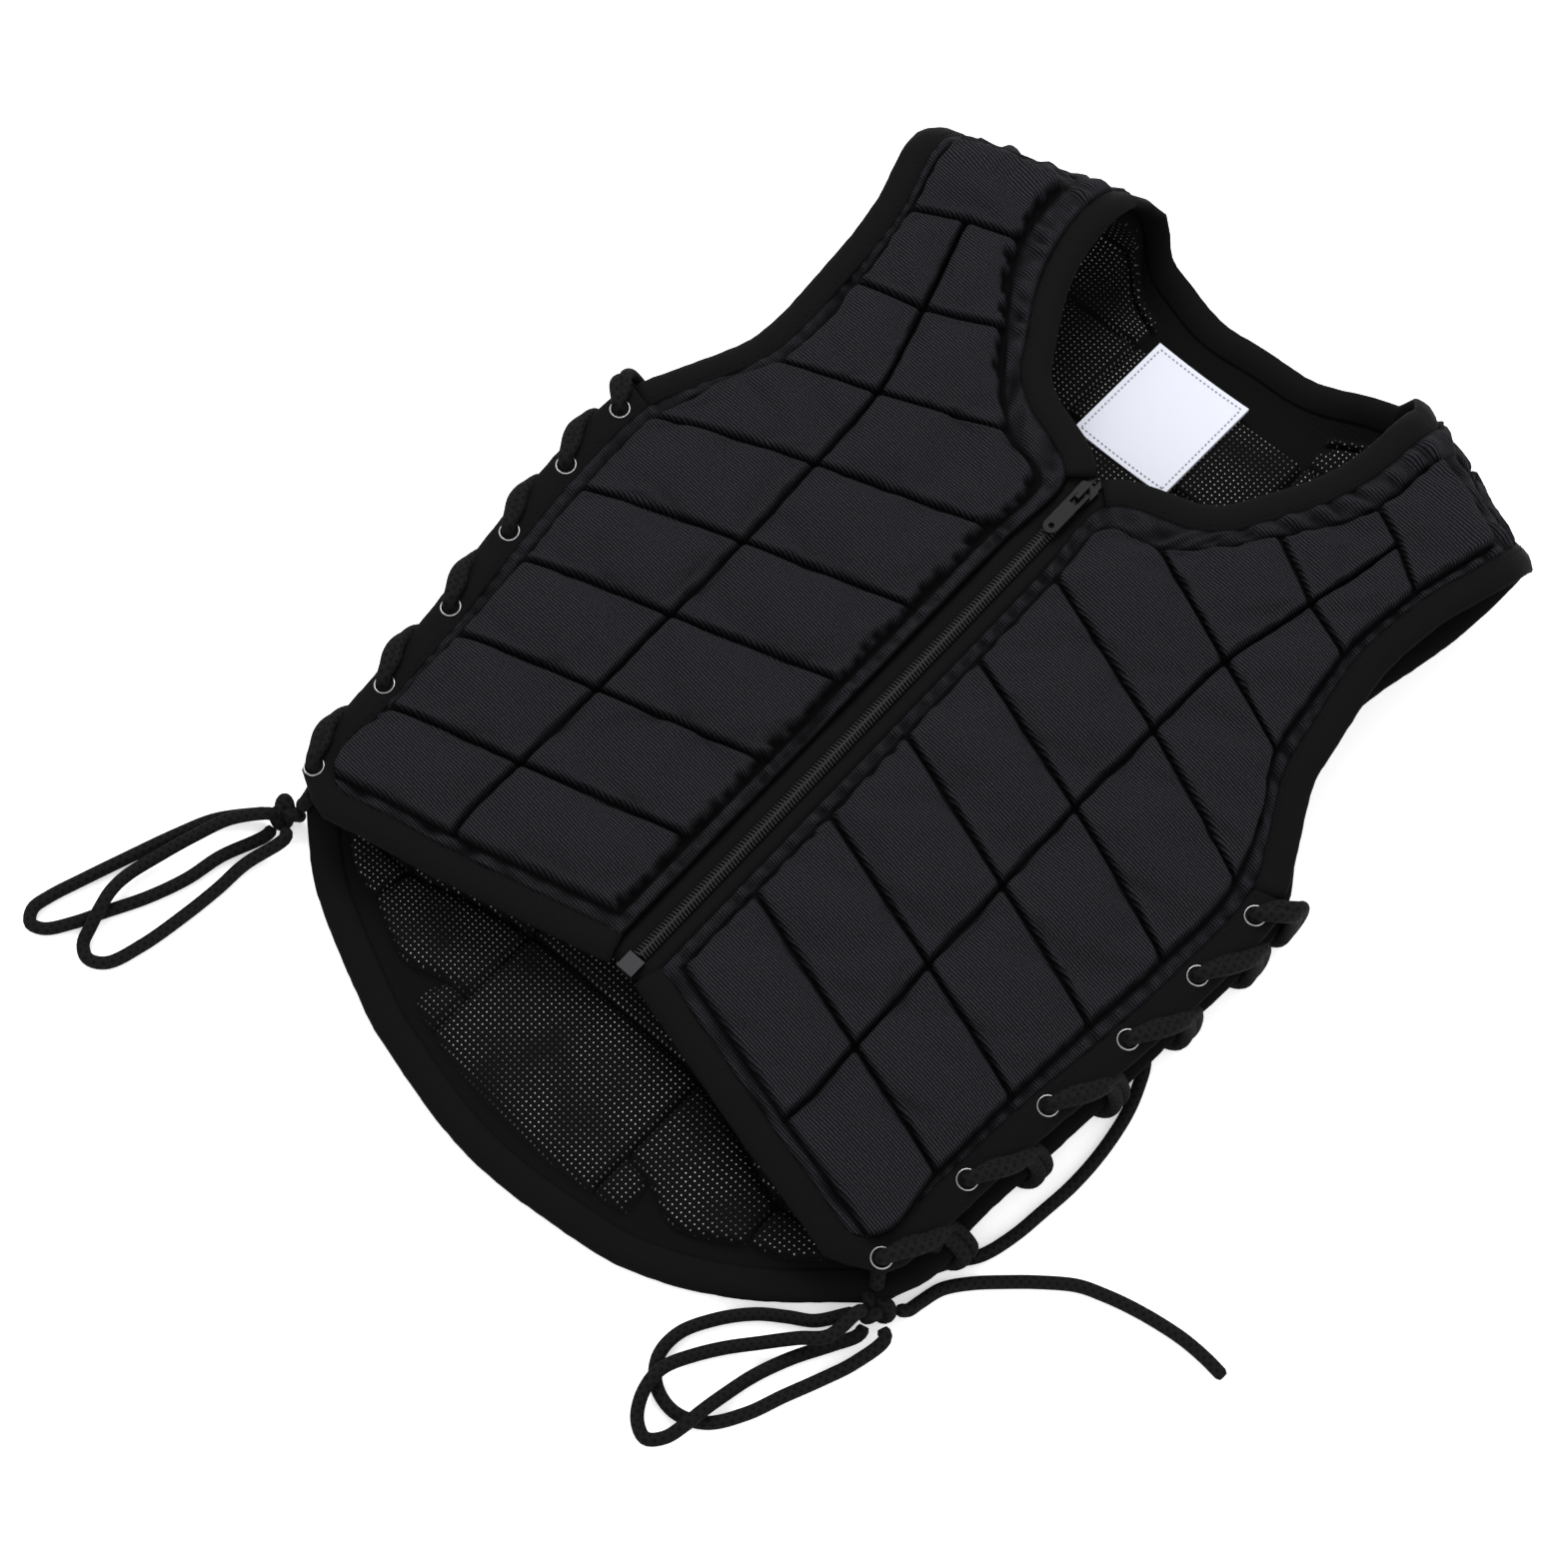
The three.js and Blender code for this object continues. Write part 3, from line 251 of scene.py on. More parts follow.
# Back pattern: centre line, spine groove, neck, flank corner, side groove, outer block end, edge
BACK_LINES = [
    ("edge", (0, -0.197), (0.275, -0.183), (0.38, -0.174), (0.49, -0.157),
     (0.65, -0.123), (0.785, -0.08), (0.85, -0.054)),
    ("end", (0, -0.179), (0.275, -0.167), (0.37, -0.157), (0.475, -0.14),
     (0.635, -0.111), (0.77, -0.072), (0.855, -0.042)),
    ("groove", (0, -0.115), (0.275, -0.115), (0.36, -0.12), (0.455, -0.133),
     (0.625, -0.103), (0.78, -0.064), (0.868, -0.02)),
    ("groove", (0, -0.015), (0.275, -0.018), (0.36, -0.025), (0.45, -0.035),
     (0.61, -0.055), (0.79, -0.025), (0.872, 0.015)),
    ("groove", (0, 0.12), (0.275, 0.115), (0.36, 0.11), (0.45, 0.1),
     (0.61, 0.08), (0.815, 0.05), (0.86, 0.05)),
    ("groove", (0, 0.26), (0.275, 0.255), (0.36, 0.25), (0.45, 0.24),
     (0.61, 0.22), (0.835, 0.185), (0.88, 0.18)),
    ("groove", (0, 0.4), (0.275, 0.395), (0.36, 0.39), (0.45, 0.38),
     (0.61, 0.36), (0.85, 0.325), (0.9, 0.32)),
    ("groove", (0, 0.54), (0.275, 0.535), (0.36, 0.53), (0.45, 0.52),
     (0.61, 0.5), (0.84, 0.475), (0.9, 0.51)),
    ("shape", (0, 0.6), (0.275, 0.595), (0.36, 0.59), (0.45, 0.58),
     (0.61, 0.56), (0.79, 0.54), (0.845, 0.56)),
    ("groove", (0, 0.68), (0.275, 0.675), (0.36, 0.67), (0.45, 0.66),
     (0.6, 0.64), (0.745, 0.605), (0.79, 0.605)),
    ("groove", (0, 0.82), (0.275, 0.815), (0.36, 0.81), (0.45, 0.805),
     (0.6, 0.79), (0.735, 0.745), (0.775, 0.745)),
    ("groove", (0, 0.935), (0.275, 0.935), (0.36, 0.933), (0.45, 0.93),
     (0.62, 0.915), (0.78, 0.875), (0.82, 0.87)),
    ("shape", (0, 0.945), (0.27, 0.95), (0.36, 0.96), (0.452, 0.975),
     (0.625, 0.965), (0.79, 0.93), (0.84, 0.925)),
    ("groove", (0, 0.955), (0.268, 0.965), (0.365, 0.985), (0.46, 1.015),
     (0.63, 1.01), (0.795, 0.98), (0.865, 0.975)),
    ("end", (0, 0.963), (0.265, 0.977), (0.38, 1.002), (0.475, 1.055),
     (0.64, 1.06), (0.795, 1.03), (0.885, 1.025)),
    ("edge", (0, 0.99), (0.27, 1.004), (0.405, 1.03), (0.515, 1.1),
     (0.65, 1.08), (0.8, 1.05), (0.905, 1.02)),
]
BACK_COLUMNS = ["shape", "groove", "shape", "shape", "groove", "end", "edge"]
BACK_NECK_ROW = 11
BACK_UNDERARM_ROW = 7
NECK_COLUMN = 3
TAIL_BLOCK_COLUMNS = 2

# Eyelets of the front edge, from hem to underarm, s in body lengths
EYELET_STATIONS = [-0.045, 0.0675, 0.175, 0.2775, 0.3725, 0.4575]

# Turns of the lace beside an eyelet: along the eyelet's axis, then x, y and z
OVER_FRONT = [(-0.006, 0, 0, 0), (0.0046, 0.0008, 0.0006, 0), (0, 0.0044, 0.0055, 0.0056),
              (0, 0.0080, 0.0110, 0.0050), (0, 0.0102, 0.0175, 0.002), (0, 0.0104, 0.0245, -0.004)]
UNDER_BACK = [(0, 0.0104, 0.0045, 0.001), (0, 0.0090, 0.002, -0.0055), (0, 0.0048, 0, -0.007),
              (0.0048, 0.0004, 0, 0), (-0.007, 0, 0, 0)]
TWIN_SHIFT = (0, 0.0050, -0.0008)

# Knots of the bows and the loose cords, their routes from the foot of the zip
KNOTS = {"left": (0.161, -0.0295, 0.0095), "right": (-0.1604, -0.035, 0.0075)}
CORDS = [
    {
        "name": "bow_right_a", "knot": "right", "start": (-0.75, -0.6, -0.25), "end": (0, -1, -0.35),
        "length": 0.221, "carries_knot": True,
        "route": [
            (-0.182, -0.056, 0.0032), (-0.189, -0.072, 0.003), (-0.196, -0.092, 0.003),
            (-0.202, -0.110, 0.003), (-0.207, -0.126, 0.003), (-0.208, -0.134, 0.003),
            (-0.204, -0.139, 0.003), (-0.198, -0.137, 0.003), (-0.191, -0.127, 0.003),
            (-0.185, -0.115, 0.003), (-0.177, -0.099, 0.003), (-0.171, -0.082, 0.003),
            (-0.168, -0.066, 0.0032)],
    },
    {
        "name": "bow_right_b", "knot": "right", "start": (-0.2, -0.6, 0.9), "end": (0.7, -0.7, 0.2),
        "length": 0.213,
        "route": [
            (-0.173, -0.054, 0.0135), (-0.180, -0.068, 0.0095), (-0.186, -0.084, 0.006),
            (-0.189, -0.098, 0.006), (-0.1875, -0.108, 0.0092), (-0.185, -0.116, 0.0098),
            (-0.183, -0.124, 0.0068), (-0.181, -0.131, 0.0032), (-0.175, -0.134, 0.003),
            (-0.168, -0.130, 0.003), (-0.163, -0.115, 0.003), (-0.160, -0.095, 0.003),
            (-0.1585, -0.077, 0.003), (-0.158, -0.062, 0.0035)],
    },
    {
        "name": "bow_left_a", "knot": "left", "start": (-0.6, -0.78, -0.2), "end": (0.85, -0.5, -0.2),
        "length": 0.202,
        "route": [
            (0.146, -0.048, 0.0045), (0.137, -0.0535, 0.003), (0.127, -0.061, 0.003),
            (0.117, -0.073, 0.003), (0.110, -0.087, 0.003), (0.1105, -0.099, 0.003),
            (0.118, -0.108, 0.003), (0.130, -0.111, 0.003), (0.142, -0.106, 0.003), (0.151, -0.093, 0.003),
            (0.157, -0.078, 0.003), (0.163, -0.064, 0.003), (0.1685, -0.050, 0.004)],
    },
    {
        "name": "bow_left_b", "knot": "left", "start": (-0.2, -0.6, 0.9), "end": (0.15, -0.95, -0.25),
        "length": 0.219,
        "route": [
            (0.156, -0.051, 0.014), (0.147, -0.059, 0.0105), (0.137, -0.069, 0.0065),
            (0.127, -0.080, 0.004), (0.120, -0.091, 0.0045), (0.1165, -0.101, 0.0085),
            (0.116, -0.108, 0.0094), (0.1175, -0.116, 0.0065), (0.122, -0.123, 0.0032),
            (0.129, -0.126, 0.003), (0.135, -0.121, 0.0055), (0.138, -0.113, 0.0092),
            (0.139, -0.105, 0.0088), (0.140, -0.094, 0.0045), (0.143, -0.080, 0.003),
            (0.149, -0.065, 0.003), (0.157, -0.051, 0.004)],
    },
    {
        "name": "cord_end_left", "knot": "left", "start": (0.75, 0.65, -0.25), "end": None,
        "length": 0.142, "carries_knot": True,
        "route": [
            (0.171, -0.015, 0.004), (0.1735, -0.005, 0.003), (0.180, 0.004, 0.003), (0.190, 0.014, 0.003),
            (0.200, 0.023, 0.003), (0.212, 0.032, 0.003), (0.222, 0.036, 0.003), (0.232, 0.039, 0.003),
            (0.244, 0.0415, 0.003), (0.256, 0.043, 0.003), (0.267, 0.043, 0.003), (0.277, 0.042, 0.003)],
    },
    {
        "name": "cord_strand_left", "knot": "left", "start": None, "end": (0, 0.95, 0.15),
        "length": 0.166,
        "route": [
            (0.158, 0.127, 0.003), (0.165, 0.126, 0.003), (0.171, 0.121, 0.003), (0.176, 0.111, 0.003),
            (0.180, 0.099, 0.003), (0.183, 0.080, 0.003), (0.1835, 0.062, 0.003), (0.182, 0.046, 0.003),
            (0.180, 0.030, 0.003), (0.176, 0.016, 0.003), (0.169, 0.006, 0.003), (0.164, -0.004, 0.004),
            (0.1615, -0.012, 0.007)],
    },
]


# Materials

def new_material(name, color, roughness, metallic=0.0, specular=0.02):
    material = bpy.data.materials.new(name)
    material.use_nodes = True
    shader = material.node_tree.nodes["Principled BSDF"]
    shader.inputs["Base Color"].default_value = (*color, 1)
    shader.inputs["Roughness"].default_value = roughness
    shader.inputs["Metallic"].default_value = metallic
    shader.inputs["Specular IOR Level"].default_value = specular
    return material, material.node_tree, shader


def add_node(tree, kind, **values):
    node = tree.nodes.new(kind)
    for key, value in values.items():
        if key in node.inputs:
            node.inputs[key].default_value = value
        else:
            setattr(node, key, value)
    return node


def math_node(tree, operation, first, second=None):
    node = tree.nodes.new("ShaderNodeMath")
    node.operation = operation
    for socket, value in zip(node.inputs, (first, second)):
        if isinstance(value, (int, float)):
            socket.default_value = value
        elif value is not None:
            tree.links.new(value, socket)
    return node.outputs[0]


def pattern_uv(tree, angle=0.0):
    source = add_node(tree, "ShaderNodeUVMap", uv_map="pattern")
    turned = add_node(tree, "ShaderNodeMapping")
    turned.inputs["Rotation"].default_value = (0, 0, angle)
    tree.links.new(source.outputs["UV"], turned.inputs["Vector"])
    return turned.outputs["Vector"]


def mix_color(tree, share, low, high):
    node = add_node(tree, "ShaderNodeMix", data_type="RGBA")
    tree.links.new(share, node.inputs["Factor"])
    node.inputs[6].default_value = (*low, 1)
    node.inputs[7].default_value = (*high, 1)
    return node.outputs[2]


def add_bump(tree, shader, height, distance, strength=1.0):
    bump = add_node(tree, "ShaderNodeBump", Distance=distance, Strength=strength)
    tree.links.new(height, bump.inputs["Height"])
    tree.links.new(bump.outputs["Normal"], shader.inputs["Normal"])


def noise_of(tree, vector, scale, detail=2.0):
    noise = add_node(tree, "ShaderNodeTexNoise", Scale=scale, Detail=detail)
    tree.links.new(vector, noise.inputs["Vector"])
    return noise.outputs["Fac"]


def wave_of(tree, vector, pitch, distortion=0.0):
    wave = add_node(tree, "ShaderNodeTexWave", Scale=math.pi / 10 / pitch, Distortion=distortion,
                    bands_direction="Y")
    wave.inputs["Detail"].default_value = 1.0
    tree.links.new(vector, wave.inputs["Vector"])
    return wave.outputs["Fac"]


def painted_shade_share(tree):
    """Painted shade read from the rise attribute: 1 on the blocks and 0 in the seams, where the cloth lies
    in its own shade.
    """
    source = add_node(tree, "ShaderNodeAttribute", attribute_name="rise")
    return math_node(tree, "POWER", math_node(tree, "MINIMUM", source.outputs["Fac"], 1.0), 1.6)


def rib_fabric():
    material, tree, shader = new_material("rib_fabric", (0.012, 0.012, 0.014), 0.85, specular=0.03)
    uv = pattern_uv(tree, angle=RIB_TURN)
    ribs = wave_of(tree, uv, RIB_PITCH, 0.8)
    speckle = noise_of(tree, uv, 1100.0, 3.0)
    share = math_node(tree, "MULTIPLY", ribs, speckle)
    # Painted shade: the ribbed cloth darkens in the seams, down the blocks' walls and in the folds of the
    # bare strips
    share = math_node(tree, "MULTIPLY", share, painted_shade_share(tree))
    color = mix_color(tree, share, (0.0014, 0.0014, 0.0016), (0.0385, 0.038, 0.0462))
    tree.links.new(color, shader.inputs["Base Color"])
    add_bump(tree, shader, share, 0.0003, 0.6)
    return material


def dotted_lining():
    material, tree, shader = new_material("dotted_lining", (0.004, 0.004, 0.004), 0.85)
    uv = pattern_uv(tree)
    dots = add_node(tree, "ShaderNodeTexVoronoi", Scale=1.0 / DOT_PITCH, Randomness=0.06)
    tree.links.new(uv, dots.inputs["Vector"])
    inside = math_node(tree, "LESS_THAN", dots.outputs["Distance"], DOT_REACH)
    patches = math_node(tree, "SUBTRACT", noise_of(tree, uv, 34.0), 0.3)
    patches = math_node(tree, "MULTIPLY", patches, 2.2)
    share = math_node(tree, "MULTIPLY", inside, math_node(tree, "MAXIMUM", patches, 0.08))
    # Painted shade: the dotted print darkens in the seams
    share = math_node(tree, "MULTIPLY", share, painted_shade_share(tree))
    color = mix_color(tree, share, (0.0038, 0.0038, 0.0040), (0.6, 0.6, 0.62))
    tree.links.new(color, shader.inputs["Base Color"])
    add_bump(tree, shader, dots.outputs["Distance"], 0.0004, 0.5)
    return material


def smooth_tape():
    material, tree, shader = new_material("smooth_tape", (0.0036, 0.0036, 0.0038), 0.75, specular=0.03)
    uv = pattern_uv(tree, angle=math.radians(90))
    ribs = wave_of(tree, uv, TAPE_RIB_PITCH, 0.3)
    add_bump(tree, shader, ribs, 0.0001, 0.25)
    return material


def braided_cord():
    material, tree, shader = new_material("braided_cord", (0.004, 0.004, 0.004), 0.85, specular=0.04)
    uv = pattern_uv(tree)
    parts = add_node(tree, "ShaderNodeSeparateXYZ")
    tree.links.new(uv, parts.inputs[0])
    along = math_node(tree, "MULTIPLY", parts.outputs["X"], 2 * math.pi / BRAID_PITCH)
    around = math_node(tree, "MULTIPLY", parts.outputs["Y"], 2 * math.pi * BRAID_STRANDS)
    one = math_node(tree, "SINE", math_node(tree, "ADD", along, around))
    other = math_node(tree, "SINE", math_node(tree, "SUBTRACT", along, around))
    height = math_node(tree, "MAXIMUM", one, other)
    # Painted shade: the braid is darker between its strands than on their crests
    share = math_node(tree, "MULTIPLY", math_node(tree, "ADD", height, 1.0), 0.5)
    color = mix_color(tree, share, (0.0030, 0.0030, 0.0030), (0.0075, 0.0075, 0.0075))
    tree.links.new(color, shader.inputs["Base Color"])
    add_bump(tree, shader, height, 0.0002, 0.4)
    return material


fabric = rib_fabric()
lining = dotted_lining()
tape = smooth_tape()
cord_cloth = braided_cord()
thread = new_material("thread", (0.007, 0.007, 0.007), 0.7)[0]
coil_plastic = new_material("coil_plastic", (0.007, 0.007, 0.0075), 0.38, specular=0.18)[0]
gunmetal = new_material("gunmetal", (0.022, 0.022, 0.024), 0.36, metallic=0.8, specular=0.4)[0]
dark_paint = new_material("dark_paint", (0.0035, 0.0035, 0.0038), 0.4, specular=0.08)[0]
bright_metal = new_material("bright_metal", (0.3, 0.3, 0.31), 0.28, metallic=1.0, specular=0.5)[0]
label_cloth = new_material("label_cloth", (0.56, 0.575, 0.64), 0.8)[0]
label_thread = new_material("label_thread", (0.30, 0.305, 0.33), 0.7)[0]
paper, _, paper_shader = new_material("paper", (0.93, 0.93, 0.93), 0.9)
paper_shader.inputs["Emission Color"].default_value = (1, 1, 1, 1)
paper_shader.inputs["Emission Strength"].default_value = PAPER_GLOW


# The two surfaces that carry the pattern

def smooth(value):
    k = np.clip(value, 0, 1)
    return k * k * (3 - 2 * k)


def roll_start(x):
    return ROLL_START - ROLL_SLANT * np.maximum(np.abs(x) - STRAP_INNER, 0)


def edge_move(x, s, spread_share):
    """How far the cloth lies off its pattern: out at the right edge, in at the left armhole."""
    right = SIDE_SPREAD * smooth((-x - SPREAD_START) / SPREAD_FADE) * spread_share
    left = ARM_DRAW * smooth((x - SPREAD_START) / SPREAD_FADE)
    return -right - left * smooth((s - ARM_DRAW_FOOT) / SPREAD_FADE)


def back_lie(x, s, start):
    """How far the back lies off its pattern in the photograph, across and along."""
    beside = smooth((x - SPREAD_START) / SPREAD_FADE) * smooth(1 + s / SPREAD_FADE)
    across = edge_move(x, s, smooth((s - SPREAD_FOOT) / SPREAD_FADE))
    across = across + BACK_OUT * beside * smooth((ARM_DRAW_FOOT - s) / SPREAD_FADE)
    at_neck = smooth((s - start + NECK_FOOT) / NECK_FADE)
    at_neck = at_neck * smooth((NECK_REACH - np.abs(x)) / NECK_SIDE_FADE)
    in_tail = smooth(-s / SPREAD_FADE) * smooth((TAIL_REACH - np.abs(x)) / TAIL_FADE)
    return across, (NECK_SLANT * at_neck - TAIL_SLANT * in_tail) * x


def back_surface(x, s):
    start = roll_start(x)
    across, along = back_lie(x, s, start)
    share = np.abs(x) / HALF_WIDTH - BACK_CURL_START
    curl = smooth(share / (BACK_CURL_END - BACK_CURL_START))
    foot = smooth((s - BACK_CURL_FOOT) / BACK_CURL_FADE)
    top = smooth((start - s) / BACK_CURL_TOP_FADE)
    turn = np.maximum(s - start, 0) / SHOULDER_ROLL
    y = np.minimum(s, start) + ROLL_REACH * np.sin(turn) + along
    z = BACK_LEVEL + BACK_EDGE_LIFT * curl * foot * top + SHOULDER_ROLL * (1 - np.cos(turn))
    return np.stack([x + across, y + FOOT_Y, z], -1)


def front_surface(x, s):
    start = roll_start(x)
    share = (np.abs(x) / HALF_WIDTH - SIDE_DROP_START) / (1 - SIDE_DROP_START)
    drop = SIDE_DROP * smooth(share) * smooth((start - s) / SIDE_DROP_FADE)
    level = HEM_HEIGHT + (SHOULDER_HEIGHT - HEM_HEIGHT) * np.minimum(s / start, 1)
    turn = np.maximum(s - start, 0) / SHOULDER_ROLL
    y = np.minimum(s, start) + ROLL_REACH * np.sin(turn)
    z = level - drop - SHOULDER_ROLL * (1 - np.cos(turn))
    return np.stack([x + edge_move(x, s, 1), y + FOOT_Y, z], -1)


def unit(vectors):
    return vectors / np.maximum(np.linalg.norm(vectors, axis=-1, keepdims=True), 1e-12)


def outward(surface, x, s):
    step = 0.0005
    across = surface(x + step, s) - surface(x - step, s)
    along = surface(x, s + step) - surface(x, s - step)
    normal = unit(np.cross(across, along))
    return normal if surface is front_surface else -normal


def run_lengths(line):
    """Length along a line up to each of its points."""
    return np.concatenate([[0], np.cumsum(np.linalg.norm(np.diff(line, axis=0), axis=1))])


def at_lengths(line, run, places):
    return np.stack([np.interp(places, run, line[:, k]) for k in range(3)], -1)


def between(ends, tangents, gap, t):
    """The point at share t of a smooth step between two ends with the given slopes."""
    return ((2 * t**3 - 3 * t**2 + 1) * ends[0] + (t**3 - 2 * t**2 + t) * gap * tangents[0]
            + (3 * t**2 - 2 * t**3) * ends[1] + (t**3 - t**2) * gap * tangents[1])


# Fine grids over the pattern

def spread(count):
    t = np.arange(count + 1) / count
    return (1 - EVEN_SHARE) * (1 - np.cos(np.pi * t)) / 2 + EVEN_SHARE * t


def fine_stations(lengths, step):
    """The interval and share of each fine sample, and the samples that lie on the lines."""
    stations = []
    on_line = []
    for i, length in enumerate(lengths):
        on_line.append(len(stations))
        count = max(3, round(length / step))
        stations += [(i, share) for share in spread(count)[:-1]]
    on_line.append(len(stations))
    stations.append((len(lengths) - 1, 1.0))
    return stations, on_line


def through(lines, step, curved):
    """Fine lines through the given ones along axis 0, and the index of each given line."""
    gaps = np.linalg.norm(np.diff(lines, axis=0), axis=-1).mean(axis=1)
    stations, on_line = fine_stations(gaps, step)
    slopes = np.diff(lines, axis=0) / gaps[:, None, None]
    tangents = np.concatenate([slopes[:1], (slopes[1:] + slopes[:-1]) / 2, slopes[-1:]])
    weights = gaps[1:, None, None] / (gaps[1:] + gaps[:-1])[:, None, None]
    tangents[1:-1] = slopes[:-1] * weights + slopes[1:] * (1 - weights)
    rows = []
    for i, t in stations:
        if curved:
            rows.append(between(lines[i:i + 2], tangents[i:i + 2], gaps[i], t))
        else:
            rows.append(lines[i] + (lines[i + 1] - lines[i]) * t)
    return np.array(rows), on_line


def fine_grid(lines, step, curved_across):
    """A fine grid through a coarse one, and the fine rows and columns that its lines became."""
    fine, rows = through(lines, step, True)
    turned, columns = through(fine.transpose(1, 0, 2), step, curved_across)
    return turned.transpose(1, 0, 2), rows, columns


def groups(kinds):
    """The block number of each interval between lines, and -1 for the bare cloth at the edges."""
    numbers = []
    block = 0
    for i in range(len(kinds) - 1):
        if kinds[i] == "groove":
            block += 1
        bare = kinds[i] == "edge" or kinds[i + 1] == "edge"
        numbers.append(-1 if bare else block)
    return numbers


def span(line, k):
    """First and last boundary of the block that holds cell k in a line of block numbers."""
    low = high = k
    while low > 0 and line[low - 1] == line[k]:
        low -= 1
    while high + 1 < len(line) and line[high + 1] == line[k]:
        high += 1
    return low, high + 1


def inside_block(points, rows, columns, ids, ragged, i, j):
    """How far each fine point of cell i, j lies inside its block's seams, across and along."""
    top, bottom = span(ids[:, j], i)
    left, right = span(ids[i], j)
    r = slice(rows[i], rows[i + 1] + 1)
    c = slice(columns[j], columns[j + 1] + 1)
    here = points[r, c]
    along = [np.linalg.norm(here - points[rows[k], c][None], axis=-1) for k in (top, bottom)]
    across = [np.linalg.norm(here - points[r, columns[k]][:, None], axis=-1) for k in (left, right)]
    if left > 0 and ids[i, left - 1] < 0:
        across[0] = across[0] - ragged[r, c]
    if right < ids.shape[1] and ids[i, right] < 0:
        across[1] = across[1] - ragged[r, c] * OUTER_RUFFLE
    return [np.maximum(np.minimum(*pair) - SEAM_HALF, 0) for pair in (across, along)]


def rounded(du, dv):
    """Share of a block's height at distances du and dv inside its seams."""
    corner = np.hypot(np.maximum(BLOCK_CORNER - du, 0), np.maximum(BLOCK_CORNER - dv, 0))
    t = np.clip((BLOCK_CORNER - corner) / BLOCK_EDGE, 0, 1)
    return (1 - (1 - t) ** BLOCK_ROUNDNESS) ** (1 / BLOCK_ROUNDNESS)


def block_heights(points, rows, columns, ids, ragged):
    """Share of the full height, of the crown and of the bare strips' puff at each fine point.

    ragged draws the ends of the blocks in beside the bare strips, by a length for each point.
    """
    height, crown, puff = np.zeros((3, *points.shape[:2]))
    for i, j in np.ndindex(ids.shape):
        cell = np.s_[rows[i]:rows[i + 1] + 1, columns[j]:columns[j + 1] + 1]
        if ids[i, j] < 0:
            count_r, count_c = puff[cell].shape
            u = np.linspace(0, 1, count_c)[None]
            v = np.linspace(0, 1, count_r)[:, None]
            lift = np.sin(np.pi * (u if j in (0, ids.shape[1] - 1) else v))
            puff[cell] = np.maximum(puff[cell], lift)
            continue
        du, dv = inside_block(points, rows, columns, ids, ragged, i, j)
        height[cell] = np.maximum(height[cell], rounded(du, dv))
        crown[cell] = np.maximum(crown[cell], smooth(np.minimum(du, dv) / CROWN_REACH))
    return height, crown, puff


def to_pattern(rows):
    shares = np.array([row[1:] for row in rows], float)
    return shares * (HALF_WIDTH, BODY_LENGTH)


def front_pattern():
    lines = to_pattern(FRONT_LINES)
    seam = lines[-1].copy()
    seam[:, 1] = roll_start(seam[:, 0]) + SEAM_ARC + FIT_GAP / 2
    lines = np.concatenate([lines, seam[None]])
    kinds = [row[0] for row in FRONT_LINES] + ["edge"]
    row_groups = np.array(groups(kinds))
    column_groups = np.array(groups(FRONT_COLUMNS))
    ids = row_groups[:, None] * 10 + column_groups[None]
    ids[FRONT_SHOULDER_ROW:] = row_groups[FRONT_SHOULDER_ROW:, None] * 10
    ids[(row_groups < 0), :] = -1
    ids[:, (column_groups < 0)] = -1
    return (*fine_grid(lines, GRID_STEP, False), ids)


def back_pattern():
    lines = to_pattern(BACK_LINES)
    top = lines[-1]
    seam = roll_start(top[:, 0]) + math.pi * SHOULDER_ROLL - SEAM_ARC + FIT_GAP / 2
    top[NECK_COLUMN:, 1] = seam[NECK_COLUMN:]
    other = lines[:, :0:-1] * (-1, 1)
    lines = np.concatenate([other, lines], axis=1)
    row_groups = np.array(groups([row[0] for row in BACK_LINES]))
    half = np.array(groups(BACK_COLUMNS))
    column_groups = np.concatenate([-half[:0:-1] - 1, [0, 0], half[1:]])
    bare = np.concatenate([half[::-1] < 0, half < 0])
    ids = row_groups[:, None] * 20 + (column_groups[None] + 10)
    middle = len(half)
    for side in (middle - 1, middle):
        ids[2, side] = ids[1, side]
        ids[BACK_NECK_ROW:, side] = -1
    ids[1, : middle - TAIL_BLOCK_COLUMNS] = -1
    ids[1, middle + TAIL_BLOCK_COLUMNS:] = -1
    ids[row_groups < 0, :] = -1
    ids[:, bare] = -1
    return (*fine_grid(lines, BACK_GRID_STEP, True), ids)


# Meshes

def add_object(name, data):
    item = bpy.data.objects.new(name, data)
    bpy.context.scene.collection.objects.link(item)
    return item


def new_piece(name, vertices, faces, materials, body="protector"):
    mesh = bpy.data.meshes.new(name)
    mesh.from_pydata([tuple(v) for v in vertices], [], faces)
    for item in materials:
        mesh.materials.append(item)
    piece = add_object(name, mesh)
    mesh.polygons.foreach_set("use_smooth", np.ones(len(mesh.polygons), bool))
    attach(piece, body)
    return piece


def quads_of(number):
    """Faces between the neighbours in a grid of vertex numbers."""
    corners = [number[:-1, :-1], number[:-1, 1:], number[1:, 1:], number[1:, :-1]]
    return np.stack(corners, -1).reshape(-1, 4)


def sheet_faces(count_r, count_c):
    """Faces of two grids of vertices, the upper one first, with a wall round their edge."""
    number = np.arange(count_r * count_c).reshape(count_r, count_c)
    shift = number.size
    upper = quads_of(number)
    ring = np.concatenate([number[0, :-1], number[:-1, -1], number[-1, :0:-1], number[:0:-1, 0]])
    following = np.roll(ring, -1)
    wall = np.stack([following, ring, ring + shift, following + shift], -1)
    return np.concatenate([upper, (upper + shift)[:, ::-1], wall])


